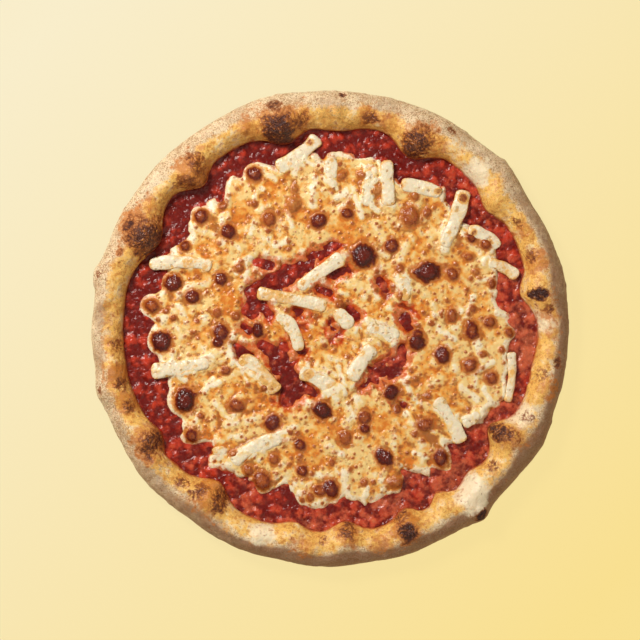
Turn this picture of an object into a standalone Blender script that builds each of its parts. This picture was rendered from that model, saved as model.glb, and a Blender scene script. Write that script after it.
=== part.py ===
"""A whole margherita pizza, 30 cm across, as baked and uncut.

The pieces are a round of dough with a puffed and blistered rim, a layer of tomato sauce, one melted
sheet of mozzarella with browned bubbles and gaps, and the strips of mozzarella that kept their shape.

Metres, +Z up. The origin is the middle of the flat underside, and +Y is the top of the picture.
Angles run anticlockwise from +X.
"""

import math

import bmesh
import bpy
import numpy as np

MM = 0.001
GAP = 0.3 * MM

DIAMETER = 300 * MM
RADIUS = DIAMETER / 2
RIM_WIDTH = 21.7 * MM
RIM_HEIGHT = 19 * MM
RIM_CROWN_SHARE = 0.5
RIM_BELLY_HEIGHT = 8 * MM
RIM_FOOT_INSET = 8 * MM
DOUGH_THICKNESS = 4.5 * MM
SAUCE_TOP = 6.9 * MM
SAUCE_LUMPS = 0.3 * MM
CHEESE_BOTTOM = 7.5 * MM
CHEESE_EDGE_TOP = 8.2 * MM
CHEESE_TOP = 9.2 * MM
CHEESE_EDGE_SLOPE = 5 * MM
STRIP_THICKNESS = 3.4 * MM
STRIP_END_TAPER = 0.72
STRIP_POINTS = 5
FLOOR_SAMPLES = 25
FLOOR_REACH = 0.4

INNER_RADIUS = RADIUS - RIM_WIDTH
CHEESE_RADIUS = 110.5 * MM

# Places are read in a 640-pixel picture taken from straight above.
PICTURE_CENTRE = (330.5, 329.0)
PICTURE_DIAMETER = 477.0
PIXEL = DIAMETER / PICTURE_DIAMETER

TURN_STEPS = 144
RIM_ARC_STEPS = 5
PLAN_POINTS = 180
GRID_CELLS = 150
THIN_SHARE = 0.08
SEED = 7

# Lobes of an edge: degrees, half width in degrees, millimetres outwards.
OUTER_LOBES = (
    (14, 4, 0.8), (31, 4, -0.8), (43, 5, 1.8), (63, 5, 1.0), (107, 7, 1.2), (166.5, 2.5, 3.0),
    (195, 3, 2.8), (218, 5, 0.9), (235, 6, -1.0), (258, 6, -1.3), (280, 6, -1.2),
    (309, 2.5, 3.8), (332, 5, 2.0),
)

# Blisters that swell the rim inwards over the sauce: degrees, half width in degrees, millimetres.
INNER_BLISTERS = (
    (11, 4, 7.5), (38, 4, 5.5), (65.5, 5, 10), (88, 5, 4), (103.5, 5, 9), (132, 4, 8.2),
    (153.5, 5.5, 9), (211, 4, 4.5), (234, 5, 9.5), (259, 4, 5), (274.5, 4, 7.5), (292, 3, 7),
    (303, 2.5, 6), (314, 3, 4), (328.5, 4, 12),
)

# The places between them where the sauce reaches further out: degrees, half width, millimetres.
INNER_BAYS = ((0, 5, 1.4), (57, 3, 0.8), (140, 4, 1.6), (183, 22, 2.0), (217.5, 3, 1.8), (345, 9, 0.6))

# Bubbles of the rim's top: degrees, place across the rim (0 inside, 1 outside), then radius and rise
# in millimetres.
RIM_BUBBLES = (
    (9.5, 0.45, 9, 1.6), (38, 0.25, 9, 1.4), (65.5, 0.3, 11, 1.8), (88, 0.6, 8, 1.0),
    (103.5, 0.25, 12, 2.6), (118, 0.6, 9, 1.4), (132, 0.25, 10, 2.2), (153.5, 0.2, 13, 2.8),
    (172, 0.7, 8, 1.2), (190, 0.35, 10, 1.2), (210, 0.35, 10, 1.7), (234, 0.3, 12, 2.2),
    (250, 0.75, 8, 1.3), (274.5, 0.3, 10, 1.8), (291, 0.45, 10, 2.0), (309, 0.95, 7, 2.0),
    (328.5, 0.2, 11, 2.4), (345, 0.55, 9, 1.5),
)

# Tongues and bays of the melted sheet: degrees, half width in degrees, millimetres outwards.
CHEESE_LOBES = (
    (358, 3, 7), (10, 4, -4.5), (27, 3.5, 7.5), (39, 4, -6.5), (53, 2.5, 3), (67, 5, -8),
    (77, 3, 2), (84, 3, -4), (93, 2, -4), (107, 3, -7), (114.5, 2.5, 6), (123.5, 2.5, 5.5),
    (130, 2.5, -5), (139, 2.5, 7), (146, 4, -5), (156, 2, 3), (164, 2.5, -4), (172, 3, 9),
    (183, 2.5, 5), (198, 3, -4), (207, 3, 1), (217.5, 2.5, 8), (223, 2, -8), (231, 3, 0.5),
    (243, 2.5, -7), (254, 3, -10), (266, 4, 3), (276, 2.5, -5.5), (285, 4, 1), (297, 3, -10),
    (306, 1.8, -6), (310.5, 2, 6), (315, 1.8, -7), (323, 3, -6.5), (338, 4, 8), (348, 4, 5),
)

# Gaps in the sheet that show the sauce, each a bent path: pixel x, pixel y and radius in pixels.
CHEESE_GAPS = (
    ((337, 246, 3), (317, 257, 7), (298, 270, 10), (276, 280, 11), (256, 290, 9), (253, 308, 8)),
    ((298, 314, 6), (302, 320, 5)),
    ((281, 355, 8), (284, 372, 11), (292, 386, 11), (288, 398, 9)),
    ((362, 386, 5), (378, 376, 9), (396, 364, 8), (407, 350, 4)),
    ((332, 328, 6), (335, 332, 6)),
    ((403, 312, 6), (407, 320, 7)),
)

# Browned bubbles of the sheet: pixel x, pixel y, radius in pixels.
CHEESE_BUBBLES = (
    (364, 255, 14), (427, 272, 12), (411, 216, 10), (162, 341, 11), (185, 400, 13), (322, 410, 10),
    (417, 342, 9), (443, 355, 9), (391, 392, 9), (384, 457, 9), (440, 458, 9), (331, 489, 10),
    (173, 283, 9), (425, 425, 9), (319, 221, 9), (221, 332, 9), (254, 174, 8), (228, 231, 8),
    (269, 219, 8), (294, 205, 8), (192, 297, 8), (221, 279, 7), (201, 216, 8), (472, 330, 9),
    (470, 366, 8), (490, 322, 7), (492, 378, 7), (396, 483, 8), (272, 423, 9), (302, 471, 7),
    (262, 480, 10), (300, 445, 7), (345, 438, 8), (452, 315, 7), (453, 274, 7), (391, 246, 8),
    (236, 406, 8), (192, 436, 7), (152, 306, 9), (206, 186, 6), (365, 418, 8), (347, 213, 7),
)
BUBBLE_RISE_SHARE = 0.38

# Strips: width in millimetres and the pixel places that the middle of the strip passes through.
STRIPS = (
    (8.5, (277, 169), (300, 154), (318, 137)),
    (7.5, (329, 157), (331, 168), (330, 181)),
    (7.5, (370, 170), (369, 188), (366, 206)),
    (8.0, (386, 160), (388, 182), (388, 206)),
    (8.0, (401, 185), (420, 187), (441, 194)),
    (8.5, (464, 190), (456, 219), (443, 247)),
    (8.0, (468, 231), (484, 235), (498, 248)),
    (6.5, (488, 262), (503, 267), (518, 277)),
    (7.5, (149, 265), (181, 262), (212, 266)),
    (8.0, (298, 288), (323, 270), (343, 257)),
    (7.5, (257, 293), (292, 299), (327, 306)),
    (7.5, (276, 316), (292, 328), (299, 351)),
    (7.0, (403, 276), (405, 288), (405, 301)),
    (8.0, (335, 310), (344, 319), (352, 327)),
    (9.5, (367, 325), (383, 331), (398, 339)),
    (8.5, (151, 371), (180, 368), (209, 362)),
    (9.5, (240, 357), (262, 375), (277, 392)),
    (9.5, (300, 371), (320, 380), (338, 392)),
    (8.5, (350, 380), (362, 361), (373, 346)),
    (5.0, (511, 352), (512, 377), (507, 402)),
    (8.0, (436, 399), (451, 420), (461, 443)),
    (6.0, (463, 425), (471, 420), (479, 413)),
    (8.5, (218, 446), (219, 451), (220, 456)),
    (8.0, (232, 463), (255, 447), (282, 438)),
)


def make_material(name, colour, roughness):
    """A plain Principled material for one kind of food."""
    material = bpy.data.materials.new(name)
    material.use_nodes = True
    shader = material.node_tree.nodes["Principled BSDF"]
    shader.inputs["Base Color"].default_value = (*colour, 1.0)
    shader.inputs["Roughness"].default_value = roughness
    shader.inputs["Metallic"].default_value = 0.0
    return material


def make_object(name, mesh, material, collection):
    """An object of a finished mesh, in its collection and with its material."""
    mesh.materials.clear()
    mesh.materials.append(material)
    made = bpy.data.objects.new(name, mesh)
    collection.objects.link(made)
    return made


def evaluated_mesh(source):
    """The mesh of an object as its modifiers or its curve leave it."""
    graph = bpy.context.evaluated_depsgraph_get()
    return bpy.data.meshes.new_from_object(source.evaluated_get(graph))


def remove_object(source):
    bpy.data.objects.remove(source, do_unlink=True)


def vertex_array(mesh):
    """The mesh's vertices as an array with a row for each."""
    places = np.empty(len(mesh.vertices) * 3)
    mesh.vertices.foreach_get("co", places)
    return places.reshape(-1, 3)


def move_vertices(mesh, places):
    mesh.vertices.foreach_set("co", places.ravel())
    mesh.update()


def from_picture(pixel_x, pixel_y):
    """A place in the picture, in metres from the pizza's middle."""
    return (
        (pixel_x - PICTURE_CENTRE[0]) * PIXEL,
        (PICTURE_CENTRE[1] - pixel_y) * PIXEL,
    )


def smooth_step(share):
    share = np.clip(share, 0.0, 1.0)
    return share * share * (3.0 - 2.0 * share)


def lobes(theta, entries):
    """The sum of one rounded hump for each entry, at half its height one half width from its middle."""
    total = np.zeros_like(theta)
    for degrees, half_width, height in entries:
        turn = (np.degrees(theta) - degrees + 180.0) % 360.0 - 180.0
        total += height * MM * np.exp(-math.log(2.0) * (turn / half_width) ** 2)
    return total


def ripple(theta, amplitude, lowest, highest, seed):
    """An uneven wave round the pizza: a sine for each whole count of waves, with a drawn phase."""
    draw = np.random.default_rng(seed)
    counts = np.arange(lowest, highest + 1)
    total = np.zeros_like(theta)
    for count in counts:
        total += draw.uniform(0.3, 1.0) * np.sin(count * theta + draw.uniform(0.0, 2.0 * math.pi))
    return amplitude * total / math.sqrt(len(counts))


def ground(x, y, amplitude, wave_length, seed):
    """An uneven field: sines of one wave length that run in drawn directions."""
    draw = np.random.default_rng(seed)
    directions = 9
    total = np.zeros_like(x)
    for _ in range(directions):
        heading = draw.uniform(0.0, 2.0 * math.pi)
        pace = 2.0 * math.pi / (wave_length * draw.uniform(0.75, 1.3))
        along = x * math.cos(heading) + y * math.sin(heading)
        total += np.sin(along * pace + draw.uniform(0.0, 2.0 * math.pi))
    return amplitude * total / math.sqrt(directions)


def outer_radius(theta):
    return RADIUS + lobes(theta, OUTER_LOBES) + ripple(theta, 0.35 * MM, 9, 26, SEED)


def inner_radius(theta):
    """Where the rim meets the sauce: a circle that the blisters press inwards."""
    swelling = lobes(theta, INNER_BLISTERS) - lobes(theta, INNER_BAYS)
    return INNER_RADIUS - swelling + ripple(theta, 0.35 * MM, 11, 30, SEED + 1)


def crown_height(theta):
    """The top of the rim: highest where a blister swells it."""
    swelling = 0.3 * lobes(theta, INNER_BLISTERS) + 0.5 * lobes(theta, OUTER_LOBES)
    return RIM_HEIGHT + swelling + ripple(theta, 1.0 * MM, 3, 15, SEED + 2)


def bubble_rise(theta, across):
    """How far the bubbles lift the rim's top, each as a dome over its own circle."""
    total = np.zeros_like(theta)
    for degrees, middle, radius, rise in RIM_BUBBLES:
        turn = (np.degrees(theta) - degrees + 180.0) % 360.0 - 180.0
        along = np.radians(turn) * (INNER_RADIUS + middle * RIM_WIDTH)
        share = np.hypot(along, (across - middle) * RIM_WIDTH) / (radius * MM)
        total += rise * MM * (1.0 - np.clip(share, 0.0, 1.0) ** 2) ** 1.5
    return total


def cheese_radius(theta):
    return CHEESE_RADIUS + lobes(theta, CHEESE_LOBES) + ripple(theta, 0.5 * MM, 20, 44, SEED + 3)


def gap_distance(x, y):
    """How far each place is outside the nearest gap, in metres; below nothing inside one."""
    nearest = np.full_like(x, DIAMETER)
    for path in CHEESE_GAPS:
        for (start_x, start_y, start_radius), (end_x, end_y, end_radius) in zip(path, path[1:]):
            from_x, from_y = from_picture(start_x, start_y)
            to_x, to_y = from_picture(end_x, end_y)
            run_x, run_y = to_x - from_x, to_y - from_y
            share = ((x - from_x) * run_x + (y - from_y) * run_y) / (run_x**2 + run_y**2)
            share = np.clip(share, 0.0, 1.0)
            radius = (start_radius + (end_radius - start_radius) * share) * PIXEL
            away = np.hypot(x - from_x - share * run_x, y - from_y - share * run_y)
            nearest = np.minimum(nearest, away - radius)
    return nearest


def gap_outline(path):
    """A loop round a gap: down one side of its path, round its end and back up the other side."""
    middle = np.array([from_picture(pixel_x, pixel_y) for pixel_x, pixel_y, _ in path])
    radius = np.array([pixels for _, _, pixels in path])[:, None] * PIXEL
    heading = np.gradient(middle, axis=0)
    heading /= np.linalg.norm(heading, axis=1, keepdims=True)
    sideways = np.stack([-heading[:, 1], heading[:, 0]], axis=1)
    left = middle + sideways * radius
    right = middle - sideways * radius
    first_cap = middle[0] + radius[0] * (np.array([[0.7], [-0.7]]) * sideways[0] - 0.7 * heading[0])
    last_cap = middle[-1] + radius[-1] * (np.array([[-0.7], [0.7]]) * sideways[-1] + 0.7 * heading[-1])
    return np.concatenate([left[::-1], first_cap, right, last_cap])


def cheese_height(x, y):
    """The top of the melted sheet: thin at its edges, gently uneven, with a dome for each bubble."""
    theta = np.arctan2(y, x)
    inside = np.minimum(cheese_radius(theta) - np.hypot(x, y), gap_distance(x, y))
    height = CHEESE_EDGE_TOP + (CHEESE_TOP - CHEESE_EDGE_TOP) * smooth_step(inside / CHEESE_EDGE_SLOPE)
    height = height + ground(x, y, 0.22 * MM, 24 * MM, SEED + 4)
    for pixel_x, pixel_y, pixels in CHEESE_BUBBLES:
        middle_x, middle_y = from_picture(pixel_x, pixel_y)
        radius = pixels * PIXEL
        share = np.clip(np.hypot(x - middle_x, y - middle_y) / radius, 0.0, 1.0)
        height = height + BUBBLE_RISE_SHARE * radius * (1.0 - share**2) ** 0.8
    return height


def turn_profile(name, points):
    """A profile turned once round the Z axis, as a mesh."""
    mesh = bpy.data.meshes.new(name)
    edges = [(i, i + 1) for i in range(len(points) - 1)]
    mesh.from_pydata([(r, 0.0, z) for r, z in points], edges, [])
    turned = bpy.data.objects.new(name, mesh)
    bpy.context.scene.collection.objects.link(turned)
    screw = turned.modifiers.new("Screw", "SCREW")
    screw.steps = TURN_STEPS
    screw.render_steps = TURN_STEPS
    screw.use_merge_vertices = True
    screw.merge_threshold = 0.00001
    screw.use_smooth_shade = True
    result = evaluated_mesh(turned)
    remove_object(turned)
    return result


def rim_profile():
    """Half the dough's section, from the middle of its floor over the rim to the middle underneath.

    The rim is three quarter ellipses: the inner face, the outer shoulder and the curve to the foot.
    """
    crown = INNER_RADIUS + RIM_CROWN_SHARE * RIM_WIDTH
    foot = RADIUS - RIM_FOOT_INSET
    points = [(0.0, DOUGH_THICKNESS)]
    for angle in np.linspace(0.0, math.pi / 2, RIM_ARC_STEPS + 1):
        rise = (RIM_HEIGHT - DOUGH_THICKNESS) * math.sin(angle)
        points.append((crown - (crown - INNER_RADIUS) * math.cos(angle), DOUGH_THICKNESS + rise))
    for angle in np.linspace(math.pi / 2, math.pi, RIM_ARC_STEPS + 1)[1:]:
        rise = (RIM_HEIGHT - RIM_BELLY_HEIGHT) * math.sin(angle)
        points.append((crown - (RADIUS - crown) * math.cos(angle), RIM_BELLY_HEIGHT + rise))
    for angle in np.linspace(math.pi, 1.5 * math.pi, RIM_ARC_STEPS)[1:]:
        drop = RIM_BELLY_HEIGHT * math.sin(angle)
        points.append((foot - (RADIUS - foot) * math.cos(angle), RIM_BELLY_HEIGHT + drop))
    points.append((0.0, 0.0))
    return points


def make_crust(material, collection):
    """The dough: a turned rim, stretched at each angle to its own edges and height."""
    mesh = turn_profile("crust", rim_profile())
    places = vertex_array(mesh)
    radius = np.hypot(places[:, 0], places[:, 1])
    theta = np.arctan2(places[:, 1], places[:, 0])
    outer = outer_radius(theta)
    inner = inner_radius(theta)
    across = (radius - INNER_RADIUS) / RIM_WIDTH
    stretched = np.where(
        across < 0.0, radius * inner / INNER_RADIUS, inner + across * (outer - inner)
    )
    above = np.clip(places[:, 2] - DOUGH_THICKNESS, 0.0, None)
    rise = (crown_height(theta) - DOUGH_THICKNESS) / (RIM_HEIGHT - DOUGH_THICKNESS)
    height = np.minimum(places[:, 2], DOUGH_THICKNESS) + above * rise
    x = stretched * np.cos(theta)
    y = stretched * np.sin(theta)
    relief = ground(x, y, 0.45 * MM, 17 * MM, SEED + 5) + bubble_rise(theta, across)
    height += relief * smooth_step(above / (6 * MM))
    places = np.stack([x, y, height], axis=1)
    move_vertices(mesh, places)
    mesh.shade_smooth()
    return make_object("crust", mesh, material, collection)


def sauce_profile():
    """Half the sauce's section, from the middle of its top to its wall and back underneath."""
    wall = INNER_RADIUS - GAP
    points = [(0.0, SAUCE_TOP)]
    points += [(wall * share, SAUCE_TOP) for share in (0.45, 0.77, 0.83, 0.885, 0.94, 0.985, 1.0)]
    points += [(wall, DOUGH_THICKNESS + GAP), (0.0, DOUGH_THICKNESS + GAP)]
    return points


def make_sauce(material, collection):
    """The sauce: a lumpy layer on the dough that ends against the rim's inner face."""
    mesh = turn_profile("sauce", sauce_profile())
    places = vertex_array(mesh)
    radius = np.hypot(places[:, 0], places[:, 1])
    theta = np.arctan2(places[:, 1], places[:, 0])
    stretched = radius * (inner_radius(theta) - GAP) / (INNER_RADIUS - GAP)
    x = stretched * np.cos(theta)
    y = stretched * np.sin(theta)
    lumps = ground(x, y, SAUCE_LUMPS / 2, 13 * MM, SEED + 6)
    on_top = places[:, 2] > SAUCE_TOP - MM
    height = places[:, 2] + np.where(on_top, np.clip(lumps, -SAUCE_LUMPS, SAUCE_LUMPS), 0.0)
    move_vertices(mesh, np.stack([x, y, height], axis=1))
    mesh.shade_smooth()
    return make_object("sauce", mesh, material, collection)


def add_loop(curve, points):
    """One closed loop of a flat outline."""
    spline = curve.splines.new("POLY")
    spline.points.add(len(points) - 1)
    for point, (x, y) in zip(spline.points, points):
        point.co = (x, y, 0.0, 1.0)
    spline.use_cyclic_u = True


def make_cheese_cutter(cutters):
    """The plan of the melted sheet with its gaps, as an upright prism."""
    curve = bpy.data.curves.new("cheese_plan", "CURVE")
    curve.dimensions = "2D"
    curve.fill_mode = "BOTH"
    curve.extrude = 10 * MM
    curve.render_resolution_u = 0
    theta = np.linspace(0.0, 2.0 * math.pi, PLAN_POINTS, endpoint=False)
    radius = cheese_radius(theta)
    add_loop(curve, list(zip(radius * np.cos(theta), radius * np.sin(theta))))
    for path in CHEESE_GAPS:
        add_loop(curve, gap_outline(path))
    outline = bpy.data.objects.new("cheese_plan", curve)
    outline.location.z = CHEESE_BOTTOM + 5 * MM
    cutters.objects.link(outline)
    bpy.context.view_layer.update()
    mesh = evaluated_mesh(outline)
    weld(mesh)
    cutter = bpy.data.objects.new("cheese_cutter", mesh)
    cutter.matrix_world = outline.matrix_world.copy()
    remove_object(outline)
    cutters.objects.link(cutter)
    cutter.hide_render = True
    cutter.display_type = "WIRE"
    return cutter


def weld(mesh):
    """Joins the loose caps of a mesh made from a curve to its walls."""
    work = bmesh.new()
    work.from_mesh(mesh)
    bmesh.ops.remove_doubles(work, verts=work.verts, dist=0.00001)
    work.to_mesh(mesh)
    work.free()


def make_cheese_block():
    """A square block whose top is the sheet's height: a fine grid, thinned where it is nearly flat."""
    half = CHEESE_RADIUS + 14 * MM
    bpy.ops.mesh.primitive_grid_add(
        x_subdivisions=GRID_CELLS, y_subdivisions=GRID_CELLS, size=2.0 * half
    )
    block = bpy.context.object
    places = vertex_array(block.data)
    places[:, 2] = cheese_height(places[:, 0], places[:, 1])
    move_vertices(block.data, places)
    thin = block.modifiers.new("Thin", "DECIMATE")
    thin.ratio = THIN_SHARE
    mesh = evaluated_mesh(block)
    remove_object(block)
    work = bmesh.new()
    work.from_mesh(mesh)
    rim = [edge for edge in work.edges if edge.is_boundary]
    skirt = bmesh.ops.extrude_edge_only(work, edges=rim)["geom"]
    lower = [item for item in skirt if isinstance(item, bmesh.types.BMVert)]
    for vertex in lower:
        vertex.co.z = CHEESE_BOTTOM
    bottom = [edge for edge in work.edges if edge.is_boundary]
    bmesh.ops.contextual_create(work, geom=bottom)
    bmesh.ops.recalc_face_normals(work, faces=work.faces)
    work.to_mesh(mesh)
    work.free()
    return mesh


def make_cheese(material, collection, cutters):
    """The melted sheet: the block's top inside the plan of the sheet."""
    cheese = make_object("cheese", make_cheese_block(), material, collection)
    trim = cheese.modifiers.new("Trim", "BOOLEAN")
    trim.operation = "INTERSECT"
    trim.object = make_cheese_cutter(cutters)
    return cheese


def strip_floor(points, width):
    """The height a strip rests at: the highest cheese within its reach."""
    steps = np.linspace(0.0, len(points) - 1.0, FLOOR_SAMPLES)
    middle_x = np.interp(steps, range(len(points)), points[:, 0])
    middle_y = np.interp(steps, range(len(points)), points[:, 1])
    around = np.linspace(0.0, 2.0 * math.pi, 12, endpoint=False)
    reach = FLOOR_REACH * width
    x = np.concatenate([middle_x] + [middle_x + reach * math.cos(a) for a in around])
    y = np.concatenate([middle_y] + [middle_y + reach * math.sin(a) for a in around])
    return float(cheese_height(x, y).max())


def bend_through(start, middle, end, count):
    """Points along the parabola that passes through three places."""
    share = np.linspace(0.0, 1.0, count)[:, None]
    start, middle, end = (np.array(place) for place in (start, middle, end))
    weight_start = 2.0 * (share - 0.5) * (share - 1.0)
    weight_middle = 4.0 * share * (1.0 - share)
    weight_end = 2.0 * share * (share - 0.5)
    return weight_start * start + weight_middle * middle + weight_end * end


def make_strip(number, width, places, material, collection):
    """A strip of mozzarella: a flattened bar with rounded ends that lies on the sheet."""
    name = f"mozzarella_strip_{number:02d}"
    points = bend_through(*(from_picture(*place) for place in places), STRIP_POINTS)
    curve = bpy.data.curves.new(name, "CURVE")
    curve.dimensions = "3D"
    curve.bevel_depth = width * MM / 2
    curve.bevel_resolution = 2
    curve.use_fill_caps = True
    curve.render_resolution_u = 0
    spline = curve.splines.new("POLY")
    spline.points.add(len(points) - 1)
    for point, (x, y) in zip(spline.points, points):
        point.co = (x, y, 0.0, 1.0)
    for end in (0, -1):
        spline.points[end].radius = STRIP_END_TAPER
    bar = bpy.data.objects.new(name, curve)
    bpy.context.scene.collection.objects.link(bar)
    mesh = evaluated_mesh(bar)
    remove_object(bar)
    weld(mesh)
    heights = vertex_array(mesh)
    flatten = STRIP_THICKNESS / (width * MM)
    floor = strip_floor(points, width * MM) + GAP + STRIP_THICKNESS / 2
    heights[:, 2] = floor + heights[:, 2] * flatten
    move_vertices(mesh, heights)
    mesh.shade_smooth()
    return make_object(name, mesh, material, collection)


def main():
    for old in list(bpy.data.objects):
        bpy.data.objects.remove(old, do_unlink=True)
    pizza = bpy.data.collections.new("margherita_pizza")
    cutters = bpy.data.collections.new("cutters")
    bpy.context.scene.collection.children.link(pizza)
    bpy.context.scene.collection.children.link(cutters)
    crust = make_material("baked_crust", (0.56, 0.33, 0.14), 0.75)
    sauce = make_material("tomato_sauce", (0.36, 0.035, 0.015), 0.35)
    melted = make_material("melted_mozzarella", (0.78, 0.47, 0.16), 0.4)
    firm = make_material("firm_mozzarella", (0.80, 0.66, 0.42), 0.45)
    make_crust(crust, pizza)
    make_sauce(sauce, pizza)
    make_cheese(melted, pizza, cutters)
    for number, (width, *places) in enumerate(STRIPS, start=1):
        make_strip(number, width, places, firm, pizza)


main()
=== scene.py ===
"""The looks of a whole margherita pizza: blistered rim, pulpy sauce, melted and browned mozzarella,
and the strips of mozzarella that kept their shape. Metres, +Z up, +Y to the top of the picture.
"""

import itertools
import math

import bpy
import numpy as np
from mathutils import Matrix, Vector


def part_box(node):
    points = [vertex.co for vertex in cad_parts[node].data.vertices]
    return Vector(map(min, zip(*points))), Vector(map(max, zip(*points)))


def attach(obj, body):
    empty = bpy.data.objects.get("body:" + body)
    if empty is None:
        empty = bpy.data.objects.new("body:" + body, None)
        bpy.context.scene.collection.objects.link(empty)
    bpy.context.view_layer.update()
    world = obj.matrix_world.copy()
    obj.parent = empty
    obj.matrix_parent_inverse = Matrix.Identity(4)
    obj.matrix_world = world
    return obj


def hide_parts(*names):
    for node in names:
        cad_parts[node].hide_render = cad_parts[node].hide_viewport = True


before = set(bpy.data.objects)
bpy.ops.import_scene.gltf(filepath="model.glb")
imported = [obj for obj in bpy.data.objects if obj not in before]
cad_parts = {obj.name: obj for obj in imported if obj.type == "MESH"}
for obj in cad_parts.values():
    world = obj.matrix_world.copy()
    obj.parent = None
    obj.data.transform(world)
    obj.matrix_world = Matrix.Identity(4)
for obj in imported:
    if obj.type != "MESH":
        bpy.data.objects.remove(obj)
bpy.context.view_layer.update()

bl_info = {
    "name": "Margherita Pizza",
    "version": (1, 0, 0),
    "blender": (4, 5, 0),
    "location": "3D View > Sidebar > Pizza",
    "description": "Builds a baked margherita pizza: crust, sauce, melted cheese and cheese strips",
    "category": "Add Mesh",
}

MM = 0.001
DIAMETER = 300 * MM
RADIUS = DIAMETER / 2
RIM_WIDTH = 21.7 * MM
RIM_HEIGHT = 19 * MM
RIM_CROWN_SHARE = 0.5
RIM_BELLY_HEIGHT = 8 * MM
RIM_FOOT_INSET = 8 * MM
DOUGH_THICKNESS = 4.5 * MM
SAUCE_BOTTOM = 4.8 * MM
SAUCE_TOP = 6.9 * MM
CHEESE_EDGE_TOP = 8.2 * MM
CHEESE_TOP = 9.2 * MM
CHEESE_EDGE_SLOPE = 5 * MM
INNER_RADIUS = RADIUS - RIM_WIDTH
CHEESE_RADIUS = 110.5 * MM
BUBBLE_RISE_SHARE = 0.46
BUBBLE_SIZE_SHARE = 0.92
SAUCE_UNDER_RIM = 0.6 * MM
SHEET_OVERHANG = 4.5 * MM
LIP_WIDTH = 2.8 * MM
LIP_DEPTH = 0.4 * MM
DIVE_DEPTH = 1.4 * MM
STRIP_BED_RISE = 1.2 * MM
STRIP_BED_REACH = 1.7 * MM
STRIP_HANG = 1.2 * MM
STRIP_END_POWER = 2.4
STRIP_END_BROWN = 0.6
MIDDLE_RADIUS = 50 * MM
MIDDLE_FADE = 30 * MM
UNDERSIDE_RELIEF = 0.15 * MM
DEEPEST_RELIEF = 5 * MM
# Turn at which the painted shade on the outside of the rim is strongest, in radians.
PAINTED_SHADE_SIDE = math.radians(306)
# Turn at which the painted light on the sauce is strongest, in radians; its painted shade is strongest
# opposite.
PAINTED_LIGHT_SIDE = math.radians(312)

# Every noise and every drawn row adds its own number to this one.
SEED = 7

# Places are read in a 640-pixel picture taken from straight above.
PICTURE_SIDE = 640
PICTURE_CENTRE = (330.5, 329.0)
PICTURE_DIAMETER = 477.0
PIXEL = DIAMETER / PICTURE_DIAMETER

# Lobes of an edge: degrees, half width in degrees, millimetres outwards.
OUTER_LOBES = (
    (14, 4, 0.8), (31, 4, -0.8), (43, 5, 1.8), (63, 5, 1.0), (107, 7, 1.2), (166.5, 2.5, 3.0),
    (195, 3, 2.8), (218, 5, 0.9), (235, 6, -1.0), (258, 6, -1.3), (280, 6, -1.2),
    (309, 2.5, 3.8), (332, 5, 2.0),
)

# Blisters that swell the rim inwards over the sauce: degrees, half width in degrees, millimetres.
INNER_BLISTERS = (
    (11, 4, 7.5), (38, 4, 5.5), (65.5, 5, 10), (88, 5, 4), (103.5, 5, 9), (132, 4, 8.2),
    (153.5, 5.5, 9), (211, 4, 4.5), (234, 5, 9.5), (259, 4, 5), (274.5, 4, 7.5), (292, 3, 7),
    (303, 2.5, 6), (314, 3, 4), (328.5, 4, 12),
)

# The places between them where the sauce reaches further out: degrees, half width, millimetres.
INNER_BAYS = ((0, 5, 1.4), (57, 3, 0.8), (140, 4, 1.6), (183, 22, 2.0), (217.5, 3, 1.8), (345, 9, 0.6))

# Bubbles of the rim's top: degrees, place across the rim (0 inside, 1 outside), then radius and rise
# in millimetres.
RIM_BUBBLES = (
    (9.5, 0.45, 9, 1.6), (38, 0.25, 9, 1.4), (65.5, 0.3, 11, 1.8), (88, 0.6, 8, 1.0),
    (103.5, 0.25, 12, 2.6), (118, 0.6, 9, 1.4), (132, 0.25, 10, 2.2), (153.5, 0.2, 13, 2.8),
    (172, 0.7, 8, 1.2), (190, 0.35, 10, 1.2), (210, 0.35, 10, 1.7), (234, 0.3, 12, 2.2),
    (250, 0.75, 8, 1.3), (274.5, 0.3, 10, 1.8), (291, 0.45, 10, 2.0), (309, 0.95, 7, 2.0),
    (328.5, 0.2, 11, 2.4), (345, 0.55, 9, 1.5),
)

# Burnt places of the rim: degrees, place across the rim, radius in millimetres, darkness.
RIM_CHARS = (
    (9.5, 0.36, 4.2, 1.0), (5.5, 0.46, 3.5, 0.5), (58.5, 0.87, 3.5, 0.45), (65, 0.22, 9, 0.62),
    (79.5, 0.3, 4, 0.5), (87, 1.0, 2.5, 0.8), (104, 0.84, 5, 0.6), (104.5, 0.16, 10, 0.78),
    (98, 0.3, 5, 0.4), (129, 0.42, 7, 0.45), (134, 0.2, 6, 0.4), (153, 0.15, 12, 0.66),
    (153.5, 0.8, 3, 0.6), (166.5, 1.0, 3, 0.35), (184, 0.25, 4, 0.4), (194.5, 0.25, 4.5, 0.5),
    (195, 1.0, 3, 0.35), (201, 0.3, 4, 0.5), (212.5, 0.24, 8, 0.6), (226, 0.3, 4, 0.4),
    (231, 0.38, 4.5, 0.55), (237, 0.24, 6, 0.5), (268, 0.25, 3, 0.4), (275, 0.2, 5, 0.5),
    (291, 0.5, 5.5, 0.85), (291, 0.1, 5, 0.5), (309, 1.02, 4.2, 1.0), (328.5, 0.2, 6, 0.65),
    (320, 0.25, 4, 0.4), (336, 0.35, 4, 0.35), (348, 0.3, 4, 0.35), (352, 0.75, 4, 0.5),
    (20, 0.25, 4, 0.4), (30, 0.3, 3.5, 0.35),
)

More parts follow.
